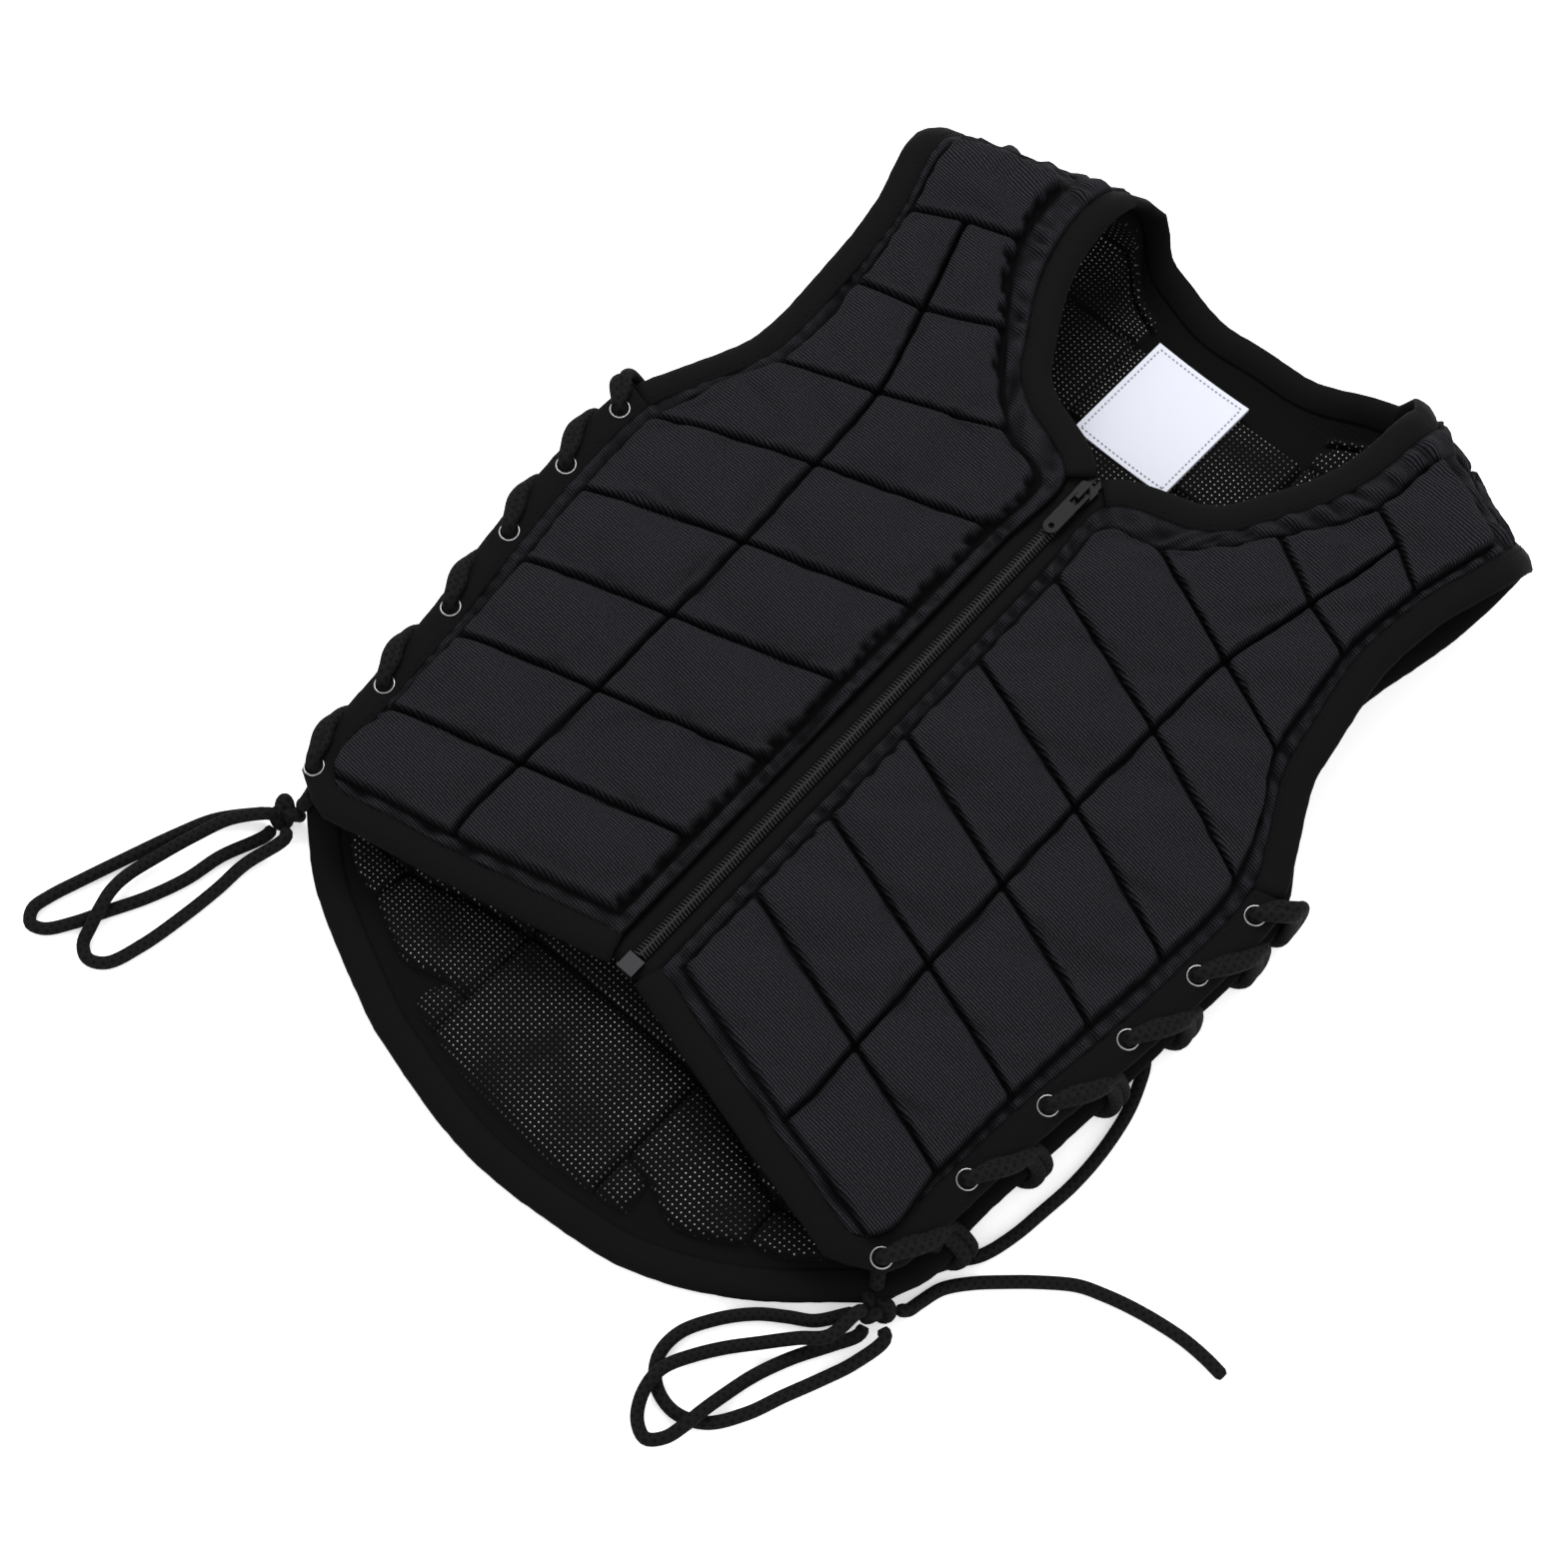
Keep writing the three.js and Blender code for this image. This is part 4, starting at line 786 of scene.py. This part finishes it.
def bar(base, centres, radii, across, up, sides):
    """Vertices and faces of a short bar through rings about the centres, with flat ends."""
    vertices = []
    for point, radius in zip(centres, radii):
        for angle in 2 * math.pi * np.arange(sides) / sides:
            vertices.append(point + (across * math.cos(angle) + up * math.sin(angle)) * radius)
    number = base + np.arange(len(vertices)).reshape(-1, sides)
    faces = quads_of(np.pad(number, ((0, 0), (0, 1)), mode="wrap")).tolist()
    return vertices, faces + [number[0, ::-1].tolist(), number[-1].tolist()]


def set_uv(mesh, values):
    """values: one pair for each vertex."""
    layer = mesh.uv_layers.new(name="pattern")
    index = np.zeros(len(mesh.loops), int)
    mesh.loops.foreach_get("vertex_index", index)
    layer.data.foreach_set("uv", np.asarray(values, float)[index].ravel())


def face_out(mesh):
    work = bmesh.new()
    work.from_mesh(mesh)
    bmesh.ops.recalc_face_normals(work, faces=work.faces)
    work.to_mesh(mesh)
    work.free()


def wrinkles(x, s, seed, wavelength, count=7):
    """Small uneven waves of height about 1, the same on each run."""
    random = np.random.default_rng(seed)
    total = np.zeros_like(x)
    for _ in range(count):
        angle = random.uniform(0, math.pi)
        pitch = wavelength * random.uniform(0.7, 1.5)
        phase = random.uniform(0, 2 * math.pi)
        total += np.sin(2 * math.pi * (x * math.cos(angle) + s * math.sin(angle)) / pitch + phase)
    return total / math.sqrt(count)


def blend(low, high, share):
    return low + (high - low) * share


def cloth_shade(height, puff, creases, collar):
    """Painted shade: 1 on the blocks and 0 in the seams of the outer face, with the bare strips darker at
    their ends and in their folds.
    """
    folds = 1 + FOLD_SHADE * np.clip(creases, *FOLD_SHADE_RANGE)
    bare = blend(STRIP_SHADE, COLLAR_SHADE, collar) * np.minimum(SHADE_PLATEAU * puff, 1) * folds
    return np.maximum(height, bare)


def panel_skin(name, surface, x, s, top, under):
    """Fabric above the surface and lining below it, by the given heights."""
    centre = surface(x, s)
    normal = outward(surface, x, s)
    grids = [centre + normal * top[..., None], centre - normal * under[..., None]]
    faces = sheet_faces(*x.shape)
    vertices = np.concatenate([grid.reshape(-1, 3) for grid in grids])
    piece = new_piece(name, vertices, faces.tolist(), [fabric, lining])
    each = (x.shape[0] - 1) * (x.shape[1] - 1)
    index = np.zeros(len(faces), int)
    index[each:2 * each] = 1
    piece.data.polygons.foreach_set("material_index", index)
    uv = np.stack([x, s], -1).reshape(-1, 2)
    set_uv(piece.data, np.concatenate([uv, uv]))
    face_out(piece.data)
    return piece


def panel(name, pattern, surface, side, rise, lining_rise, seed):
    """The padded panel and, for each of its vertices, how freely its skin may swell."""
    points, rows, columns, ids = pattern
    x = side * points[..., 0]
    s = points[..., 1]
    ragged = RUFFLE[side] * (1 + wrinkles(0 * x, s, seed + 2, RUFFLE_PITCH))
    height, crown, puff = block_heights(points, rows, columns, ids, np.maximum(ragged, 0))
    creases = wrinkles(x * CREASE_TURN, s, seed, CREASE_PITCH) * (1 - height) * puff
    creases[[0, -1]] = 0
    creases[:, [0, -1]] = 0
    collar = smooth((s / BODY_LENGTH - COLLAR_START) / COLLAR_FADE)
    collar = collar * (np.abs(x) < COLLAR_HALF * HALF_WIDTH) * (surface is front_surface)
    crowns = BLOCK_CROWN + SAG * wrinkles(x, s, seed + 1, SAG_PITCH, 4)
    top = (CLOTH_HALF + rise * height + crowns * crown + blend(STRIP_PUFF, COLLAR_PUFF, collar) * puff
           + blend(CREASE, COLLAR_CREASE, collar) * creases)
    under = CLOTH_HALF + lining_rise * height + UNDER_CROWN * BLOCK_CROWN * crown
    piece = panel_skin(name, surface, x, s, top, under)
    # Painted shade, kept in the rise attribute: cloth_shade on the outer face, the blocks' height on the
    # lining, dark in the seams
    shade = [cloth_shade(height, puff, creases, collar).ravel(), height.ravel()]
    attribute = piece.data.attributes.new("rise", "FLOAT", "POINT")
    attribute.data.foreach_set("value", np.concatenate(shade).astype(np.float32))
    loose = np.clip(height * LOOSE_GAIN - LOOSE_START, 0, 1).ravel()
    return piece, np.concatenate([loose, np.zeros(x.size)])


def pin_seams(piece, loose):
    pins = piece.vertex_groups.new(name="pins")
    weights = np.round(1 - loose, 1)
    for weight in np.unique(weights[weights > 0]):
        pins.add(np.flatnonzero(weights == weight).tolist(), float(weight), "REPLACE")


def places_of(mesh):
    places = np.zeros(len(mesh.vertices) * 3)
    mesh.vertices.foreach_get("co", places)
    return places.reshape(-1, 3)


def swell(piece, loose):
    """Lets pressure lift the outer skin between its seams, as cloth over foam."""
    pin_seams(piece, loose)
    cloth = piece.modifiers.new("swell", "CLOTH")
    for key, value in CLOTH.items():
        setattr(cloth.settings, key, value)
    cloth.settings.vertex_group_mass = "pins"
    cloth.settings.effector_weights.gravity = 0
    cloth.point_cache.frame_start = 1
    cloth.point_cache.frame_end = SWELL_FRAMES
    scene = bpy.context.scene
    for number in range(1, SWELL_FRAMES + 1):
        scene.frame_set(number)
    swollen = places_of(piece.evaluated_get(bpy.context.evaluated_depsgraph_get()).data)
    rest = places_of(piece.data)
    move = swollen - rest
    length = np.linalg.norm(move, axis=1, keepdims=True)
    move *= np.minimum(1, SWELL_CAP / np.maximum(length, 1e-9)) * loose[:, None]
    piece.modifiers.remove(cloth)
    piece.vertex_groups.clear()
    piece.data.vertices.foreach_set("co", (rest + move).ravel())
    piece.data.update()
    scene.frame_set(1)


def refine(piece):
    level = piece.modifiers.new("refine", "SUBSURF")
    level.levels = 1
    level.render_levels = 1


# Binding tape, swept along runs: each point of a run has its surface, x, s and tape width

def edge_run(surface, points, width):
    return [(surface, x, s, width) for x, s in points]


def flipped(run):
    return [(surface, -x, s, width) for surface, x, s, width in run]


def run_frames(run):
    """Centre, outward normal and side at each point of a run."""
    x, s = np.array([row[1:3] for row in run]).T
    centre = np.zeros((len(run), 3))
    normal = np.zeros_like(centre)
    for surface in (front_surface, back_surface):
        here = np.array([row[0] is surface for row in run])
        centre[here] = surface(x[here], s[here])
        normal[here] = outward(surface, x[here], s[here])
    ahead = unit(np.diff(centre, axis=0))
    before = np.concatenate([ahead[:1], ahead])
    after = np.concatenate([ahead, ahead[-1:]])
    half = np.sqrt(np.maximum((1 + (before * after).sum(-1)) / 2, 0.5))
    side = unit(np.cross(unit(before + after), normal)) / half[:, None]
    return centre, normal, side


def resample(run, step):
    """Points of the run about a step apart, with both its ends."""
    length = run_lengths(run_frames(run)[0])
    keep = [0]
    for i in range(1, len(length) - 1):
        if length[i] - length[keep[-1]] >= step:
            keep.append(i)
    return [run[i] for i in keep] + run[-1:]


def tape_section(width):
    """Distance out from the cloth's edge and height above its middle, round the folded tape."""
    upper = [(width * share + out, BINDING_HALF + lift) for share, out, lift in TAPE_SECTION]
    lower = [(out, -lift) for out, lift in reversed(upper)]
    return [*upper, (width, 0.0), *lower]


def sweep(name, rings, material, along_uv):
    """A closed skin through rings of points, with flat ends."""
    count, size = rings.shape[:2]
    number = np.arange(count * size).reshape(count, size)
    quads = quads_of(np.pad(number, ((0, 0), (0, 1)), mode="wrap"))
    faces = quads.tolist() + [number[0, ::-1].tolist(), number[-1].tolist()]
    piece = new_piece(name, rings.reshape(-1, 3), faces, [material])
    around = np.broadcast_to(np.arange(size) / size, (count, size))
    along = np.broadcast_to(np.asarray(along_uv)[:, None], (count, size))
    set_uv(piece.data, np.stack([along, around], -1).reshape(-1, 2))
    face_out(piece.data)
    return piece


def binding(name, run, turn, seed):
    """Tape folded round an edge, a little uneven, with its line of stitches."""
    run = resample(run, BINDING_STEP)
    centre, normal, side = run_frames(run)
    length = run_lengths(centre)
    phase = np.random.default_rng(seed).uniform(0, 2 * math.pi, 3)
    ripple = sum(np.sin(2 * math.pi * length / pitch + shift)
                 for pitch, shift in zip(RIPPLE_PITCHES, phase)) / 3
    rings = []
    for i, (_, _, _, width) in enumerate(run):
        ring = [centre[i] + turn * side[i] * out + normal[i] * lift * (1 + RIPPLE_LIFT * ripple[i])
                for out, lift in tape_section(width + RIPPLE_WIDTH * ripple[i])]
        rings.append(ring)
    piece = sweep(name, np.array(rings), tape, length)
    seam = centre + turn * side * STITCH_INSET + normal * (BINDING_HALF + STITCH_LIFT)
    stitches(f"stitching_{name}", [seam], [normal], thread)
    return piece


def one_stitch(base, middle, up, thickness):
    """A thread whose ends are thin and sunk."""
    across = unit(np.cross(unit(middle[-1] - middle[0]), up))
    taper = np.array(STITCH_TAPER)
    centres = middle + up * (taper[:, None] - 1) * thickness / 2
    return bar(base, centres, taper * thickness / 2, across, up, 6)


def stitches(name, lines, normals, material, pitch=STITCH_PITCH, length=STITCH_LENGTH,
             thickness=STITCH_THICKNESS):
    """Short threads along lines of points, joined into one mesh."""
    vertices = []
    faces = []
    for line, normal in zip(lines, normals):
        run = run_lengths(line)
        for begin in np.arange(0, run[-1] - length, pitch):
            middle = at_lengths(line, run, begin + length * np.array((0, 0.2, 0.8, 1)))
            up = unit(at_lengths(normal, run, begin))
            more = one_stitch(len(vertices), middle, up, thickness)
            vertices += more[0]
            faces += more[1]
    return new_piece(name, vertices, faces, [material])


# Cords

def spline(points, per=14):
    """A smooth line through the points, centripetal, so that it doesn't overshoot."""
    p = np.array(points, float)
    gaps = np.maximum(np.linalg.norm(np.diff(p, axis=0), axis=1), 1e-9) ** 0.5
    slopes = np.diff(p, axis=0) / gaps[:, None]
    tangents = np.concatenate([slopes[:1], slopes[:-1], slopes[-1:]])
    whole = (p[2:] - p[:-2]) / (gaps[1:] + gaps[:-1])[:, None]
    tangents[1:-1] = slopes[:-1] - whole + slopes[1:]
    fine = []
    for i, gap in enumerate(gaps):
        for t in np.arange(per) / per:
            fine.append(between(p[i:i + 2], tangents[i:i + 2], gap, t))
    fine.append(p[-1])
    return np.array(fine)


def even(line, step):
    run = run_lengths(line)
    places = np.linspace(0, run[-1], max(2, round(run[-1] / step)) + 1)
    return at_lengths(line, run, places), places


def tube(name, points, diameter, material, sides=14, step=0.0016, smooth_line=True):
    line, places = even(spline(points) if smooth_line else np.array(points), step)
    ahead = unit(np.gradient(line, axis=0))
    across = np.cross(ahead[0], (0.0, 0.0, 1.0))
    if np.linalg.norm(across) < 1e-6:
        across = np.array((1.0, 0.0, 0.0))
    rings = []
    angles = 2 * math.pi * np.arange(sides) / sides
    for i, point in enumerate(line):
        across = unit(across - ahead[i] * np.dot(across, ahead[i]))
        up = np.cross(ahead[i], across)
        spokes = np.cos(angles)[:, None] * across + np.sin(angles)[:, None] * up
        round_end = 0.72 if i in (0, len(line) - 1) else 1.0
        rings.append(point + spokes * diameter * round_end / 2)
    return sweep(name, np.array(rings), material, places), line


def knot_port(knot, direction):
    n = unit(np.array(direction, float))
    square = (np.array(KNOT_SIZE) / 2) ** 2
    end = n * square / math.sqrt((n * n * square).sum())
    end = end + np.array(KNOTS[knot]) + n * FIT_GAP
    return [end, end + n * KNOT_LEAD]


def to_frame(points):
    return [np.array(p) + (0, FOOT_Y, 0) for p in points]


def bow_knot(word, side):
    """A cord wound over itself three times, as large as the CAD model's knot."""
    t = np.linspace(0, 2 * math.pi, 120, endpoint=False)
    line = np.stack([np.sin(t) + KNOT_WINDING * np.sin(2 * t),
                     np.cos(t) - KNOT_WINDING * np.cos(2 * t), -KNOT_DEPTH * np.sin(3 * t)], -1)
    room = (np.array(KNOT_SIZE) - LACE) / 2
    line = line / np.abs(line).max(axis=0) * room * (side, 1, 1)
    line = np.concatenate([line, line[:1]]) + to_frame([KNOTS[word]])[0]
    piece, _ = tube(f"knot_{word}", line, LACE * 0.98, cord_cloth, smooth_line=False, step=0.0012)
    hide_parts(f"bow_knot_{word}")
    return piece


def loose_cords():
    knots = {word: bow_knot(word, side) for word, side in SIDES}
    for row in CORDS:
        route = list(row["route"])
        if row["start"]:
            route = [*knot_port(row["knot"], row["start"]), *route]
        if row["end"]:
            route = [*route, *knot_port(row["knot"], row["end"])[::-1]]
        route = to_frame(route)
        piece, line = tube(f"cord_{row['name']}", route, LACE, cord_cloth)
        print("cord", row["name"], round(float(run_lengths(line)[-1]), 4))
        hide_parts(row["name"])


def eyelet_places(edge, surface, rises, side):
    s = np.array(EYELET_STATIONS) * BODY_LENGTH + rises
    x = side * (np.interp(s, edge[:, 1], edge[:, 0]) + SIDE_BINDING - EYELET_INSET)
    return surface(x, s), outward(surface, x, s)


def lace_route(side, fronts, backs, shift):
    """shift moves the turns outside the eyelets, for the second strand beside the first."""
    route = []
    for k in range(len(EYELET_STATIONS)):
        rise = TOP_LACE_RISE if k + 1 == len(EYELET_STATIONS) else LACE_RISE
        for (points, axes), turns, ahead in ((fronts, OVER_FRONT, rise / LACE_RISE),
                                             (backs, UNDER_BACK, 1)):
            for along, x, y, z in turns:
                turn = np.array((side * x, y * ahead, z)) + np.array(shift) * (along == 0)
                route.append(points[k] + turn + axes[k] * along)
    return route


def side_lace(word, side, fronts, backs):
    port = to_frame(knot_port(word, (side * LACE_PORT[0], LACE_PORT[1], LACE_PORT[2])))
    route = [*port, *lace_route(side, fronts, backs, (0, 0, 0))]
    piece, _ = tube(f"lace_{word}", route, SIDE_LACE, cord_cloth)
    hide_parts(f"side_lace_{word}")
    strand = lace_route(side, fronts, backs, TWIN_SHIFT)
    twin, _ = tube(f"lace_twin_{word}", strand, TWIN_LACE, cord_cloth)


def eyelet_profile():
    """Distance from the axis and height round the section of a ring with a rolled rim."""
    bore = EYELET_BORE / 2
    rim = EYELET_RIM / 2
    foot = BINDING_HALF + EYELET_ROUND
    roll = [(bore + (rim - bore) * (1 - math.cos(a)) / 2, foot + EYELET_ROUND * math.sin(a))
            for a in np.linspace(0, math.pi, 8)]
    wall = bore + EYELET_WALL
    return [(bore, -BINDING_HALF), *roll, (wall, foot), (wall, -BINDING_HALF)]


def eyelets(word, fronts, backs):
    """Rings turned about each eyelet's axis."""
    profile = eyelet_profile()
    angles = 2 * math.pi * np.arange(EYELET_SIDES) / EYELET_SIDES
    for edge, (points, axes) in (("front", fronts), ("back", backs)):
        for k, (point, axis) in enumerate(zip(points, axes)):
            turn = Vector((0, 0, 1)).rotation_difference(Vector(axis))
            rings = [[Vector(point) + turn @ Vector((r * math.cos(a), r * math.sin(a), z))
                      for r, z in profile] for a in angles]
            ring_piece(f"ring_{edge}_{word}_{k + 1}", np.array(rings),
                       f"eyelet_{edge}_{word}_{k + 1}")


def ring_piece(name, rings, node):
    number = np.arange(rings[..., 0].size).reshape(rings.shape[:2])
    quads = quads_of(np.pad(number, ((0, 1), (0, 1)), mode="wrap"))
    piece = new_piece(name, rings.reshape(-1, 3), quads.tolist(), [bright_metal])
    face_out(piece.data)
    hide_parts(node)


# Zip

def zip_frame():
    foot = front_surface(np.array(0.0), np.array(0.0))
    head = front_surface(np.array(0.0), np.array(ZIP_TOP))
    slope = math.atan2(head[2] - foot[2], head[1] - foot[1])
    return Matrix.Translation(foot) @ Matrix.Rotation(slope, 4, "X")


def tooth(base, start, end):
    """A short round bar with blunt ends."""
    a, b = np.array(start, float), np.array(end, float)
    ahead = unit(b - a)
    across = unit(np.cross(ahead, (0.0, 0.0, 1.0)))
    radius = TOOTH_THICKNESS / 2
    blunt = ahead * radius * 0.6
    radii = radius * np.array((0.55, 1, 1, 0.55))
    return bar(base, (a - blunt, a, b, b + blunt), radii, across, np.cross(across, ahead), 8)


def zip_teeth(place):
    vertices = []
    faces = []
    end = ZIP_TOP - SLIDER_LENGTH - TOOTH_PITCH
    for side in (-1, 1):
        first = STOP_LENGTH + TOOTH_PITCH * (1 + side / 4)
        for y in np.arange(first, end, TOOTH_PITCH):
            root = (side * TOOTH_REACH, y - TOOTH_SLANT, COIL_LEVEL)
            tip = (-side * TOOTH_RISE, y + TOOTH_SLANT, COIL_LEVEL + TOOTH_RISE)
            more = tooth(len(vertices), root, tip)
            vertices += more[0]
            faces += more[1]
    vertices = [place @ Vector(v) for v in vertices]
    piece = new_piece("zip_teeth", vertices, faces, [coil_plastic])
    face_out(piece.data)
    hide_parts("zip_coil")


def zip_tapes(place):
    places = np.arange(ZIP_TAPE_STEP / 2, ZIP_TOP + ZIP_TAPE_STEP, ZIP_TAPE_STEP)
    for word, side in SIDES:
        rings = [[place @ Vector((side * x, y, z)) for x, z in ZIP_TAPE] for y in places]
        piece = sweep(f"tape_{word}", np.array(rings), tape, places)
        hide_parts(f"zip_tape_{word}")


def zip_hardware():
    """The hard pieces keep their CAD shape, with their edges rounded."""
    for name, width in ZIP_EDGES.items():
        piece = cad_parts[name]
        piece.data.materials.clear()
        piece.data.materials.append(gunmetal if name == "zip_stop" else dark_paint)
        edges = piece.modifiers.new("edges", "BEVEL")
        edges.width = width
        edges.segments = 2
        edges.limit_method = "ANGLE"


# Label

def label_lift(low, high, x):
    """How far the label's sides curl up, 0 at its middle."""
    return LABEL_CURL * ((x - low.x) / (high.x - low.x) - 0.5) ** 2 * 4


def label_seams(low, high):
    """Lines of stitches inside the label's four edges."""
    inset = LABEL_STITCH_INSET
    share = np.linspace(0, 1, 30)
    left, right, foot, top = low.x + inset, high.x - inset, low.y + inset, high.y - inset
    across, along = blend(left, right, share), blend(foot, top, share)
    lines = []
    for x, y in ((left, along), (right, along), (across, foot), (across, top)):
        z = high.z + label_lift(low, high, x) + LABEL_STITCH_LIFT
        lines.append(np.stack(np.broadcast_arrays(x, y, z), -1))
    return lines


def neck_label():
    low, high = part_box("label")
    x, y = np.meshgrid(np.linspace(low.x, high.x, LABEL_COUNT), np.linspace(low.y, high.y, LABEL_COUNT))
    grids = [np.stack([x, y, high.z + label_lift(low, high, x)], -1),
             np.stack([x, y, np.full_like(x, low.z)], -1)]
    vertices = np.concatenate([grid.reshape(-1, 3) for grid in grids])
    piece = new_piece("blank_label", vertices, sheet_faces(*x.shape).tolist(), [label_cloth])
    faces = piece.data.polygons
    faces.foreach_set("use_smooth", np.zeros(len(faces), bool))
    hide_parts("label")
    lines = label_seams(low, high)
    normals = [np.tile((0.0, 0.0, 1.0), (len(line), 1)) for line in lines]
    stitches("label_stitching", lines, normals, label_thread, **LABEL_STITCH)


# Camera, light and floor

def add_camera():
    a, e = CAMERA_AZIMUTH, CAMERA_ELEVATION
    back = Vector((math.sin(a) * math.cos(e), -math.cos(a) * math.cos(e), math.sin(e)))
    right = Vector((math.cos(a), math.sin(a), 0))
    up = back.cross(right)
    c, s = math.cos(CAMERA_ROLL), math.sin(CAMERA_ROLL)
    axes = Matrix((c * right + s * up, c * up - s * right, back)).transposed()
    data = bpy.data.cameras.new("camera")
    data.lens = CAMERA_LENS
    data.sensor_width = CAMERA_SENSOR
    data.clip_start = 0.05
    data.clip_end = 20
    camera = add_object("camera", data)
    camera.matrix_world = (Matrix.Translation(Vector(CAMERA_TARGET) + back * CAMERA_DISTANCE)
                           @ axes.to_4x4())
    bpy.context.scene.camera = camera


def add_floor():
    half = FLOOR_HALF
    mesh = bpy.data.meshes.new("floor")
    mesh.from_pydata([(-half, -half, 0), (half, -half, 0), (half, half, 0), (-half, half, 0)],
                     [], [(0, 1, 2, 3)])
    mesh.materials.append(paper)
    floor = add_object("floor", mesh)
    floor.location.z = FLOOR_LEVEL


def add_light(name, place, size, power):
    data = bpy.data.lights.new(name, "AREA")
    data.size = size
    data.energy = power
    light = add_object(name, data)
    light.location = place
    light.rotation_euler = (-Vector(place)).to_track_quat("-Z", "Y").to_euler()


def add_lights():
    world = bpy.data.worlds.new("studio")
    world.use_nodes = True
    background = world.node_tree.nodes["Background"]
    background.inputs["Color"].default_value = (1, 1, 1, 1)
    background.inputs["Strength"].default_value = SKY_STRENGTH
    bpy.context.scene.world = world
    for name, (place, size, power) in LIGHTS.items():
        add_light(name, place, size, power)
    bpy.context.scene.view_settings.view_transform = "Standard"


add_camera()
loose_cords()

front = front_pattern()
back = back_pattern()
front_points, front_rows = front[:2]
back_points, back_rows, back_columns = back[:3]
back_middle = back_columns[len(BACK_COLUMNS) - 1]

for word, side, seed in (("left", 1, SEED), ("right", -1, SEED + 10)):
    skin, loose = panel(f"quilted_front_{word}", front, front_surface, side,
                        FRONT_BLOCK_RISE, FRONT_LINING_RISE, seed)
    swell(skin, loose)
    refine(skin)
    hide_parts(f"front_panel_{word}")
skin, loose = panel("quilted_back", back, back_surface, 1, BACK_BLOCK_RISE, BACK_LINING_RISE,
                    SEED + 20)
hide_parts("back_panel")

underarm = front_rows[FRONT_UNDERARM_ROW]
collar = front_rows[FRONT_COLLAR_ROW]
back_underarm = back_rows[BACK_UNDERARM_ROW]
neck_end = back_columns[len(BACK_COLUMNS) - 1 + NECK_COLUMN]
front_hem = edge_run(front_surface, front_points[0], BINDING)
front_side = edge_run(front_surface, front_points[:underarm + 1, -1], SIDE_BINDING)
front_arm = edge_run(front_surface, front_points[underarm:, -1], BINDING)
front_neck = edge_run(front_surface, front_points[collar:, 0], BINDING)
back_side = edge_run(back_surface, back_points[:back_underarm + 1, -1], SIDE_BINDING)
back_arm = edge_run(back_surface, back_points[back_underarm:, -1], BINDING)
back_neck = edge_run(back_surface, back_points[-1, back_middle:neck_end + 1], BINDING)
back_tail = edge_run(back_surface, back_points[0, back_middle:], BINDING)

for word, side in SIDES:
    hem = front_hem + front_side[1:]
    arm = front_arm + back_arm[-2::-1]
    if side < 0:
        hem, arm = flipped(hem), flipped(arm)
    for kind, run, seed in (("hem", hem, 31), ("arm", arm, 32)):
        strip = binding(f"{kind}_tape_{word}", run, side, seed)
        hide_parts(f"{kind}_binding_{word}")
half_neck = front_neck + back_neck[-2::-1]
strip = binding("neck_tape", half_neck + flipped(half_neck)[-2::-1], -1, 33)
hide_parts("neck_binding")
half_back = back_tail + back_side[1:]
strip = binding("back_tape", half_back[::-1] + flipped(half_back)[1:], 1, 34)
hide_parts("back_binding")

rises = np.array([LACE_RISE] * (len(EYELET_STATIONS) - 1) + [TOP_LACE_RISE])
for word, side in SIDES:
    fronts = eyelet_places(front_points[:underarm + 1, -1], front_surface, 0, side)
    backs = eyelet_places(back_points[:back_underarm + 1, -1], back_surface, rises, side)
    side_lace(word, side, fronts, backs)
    eyelets(word, fronts, backs)

place = zip_frame()
zip_teeth(place)
zip_tapes(place)
zip_hardware()
neck_label()

add_floor()
add_lights()
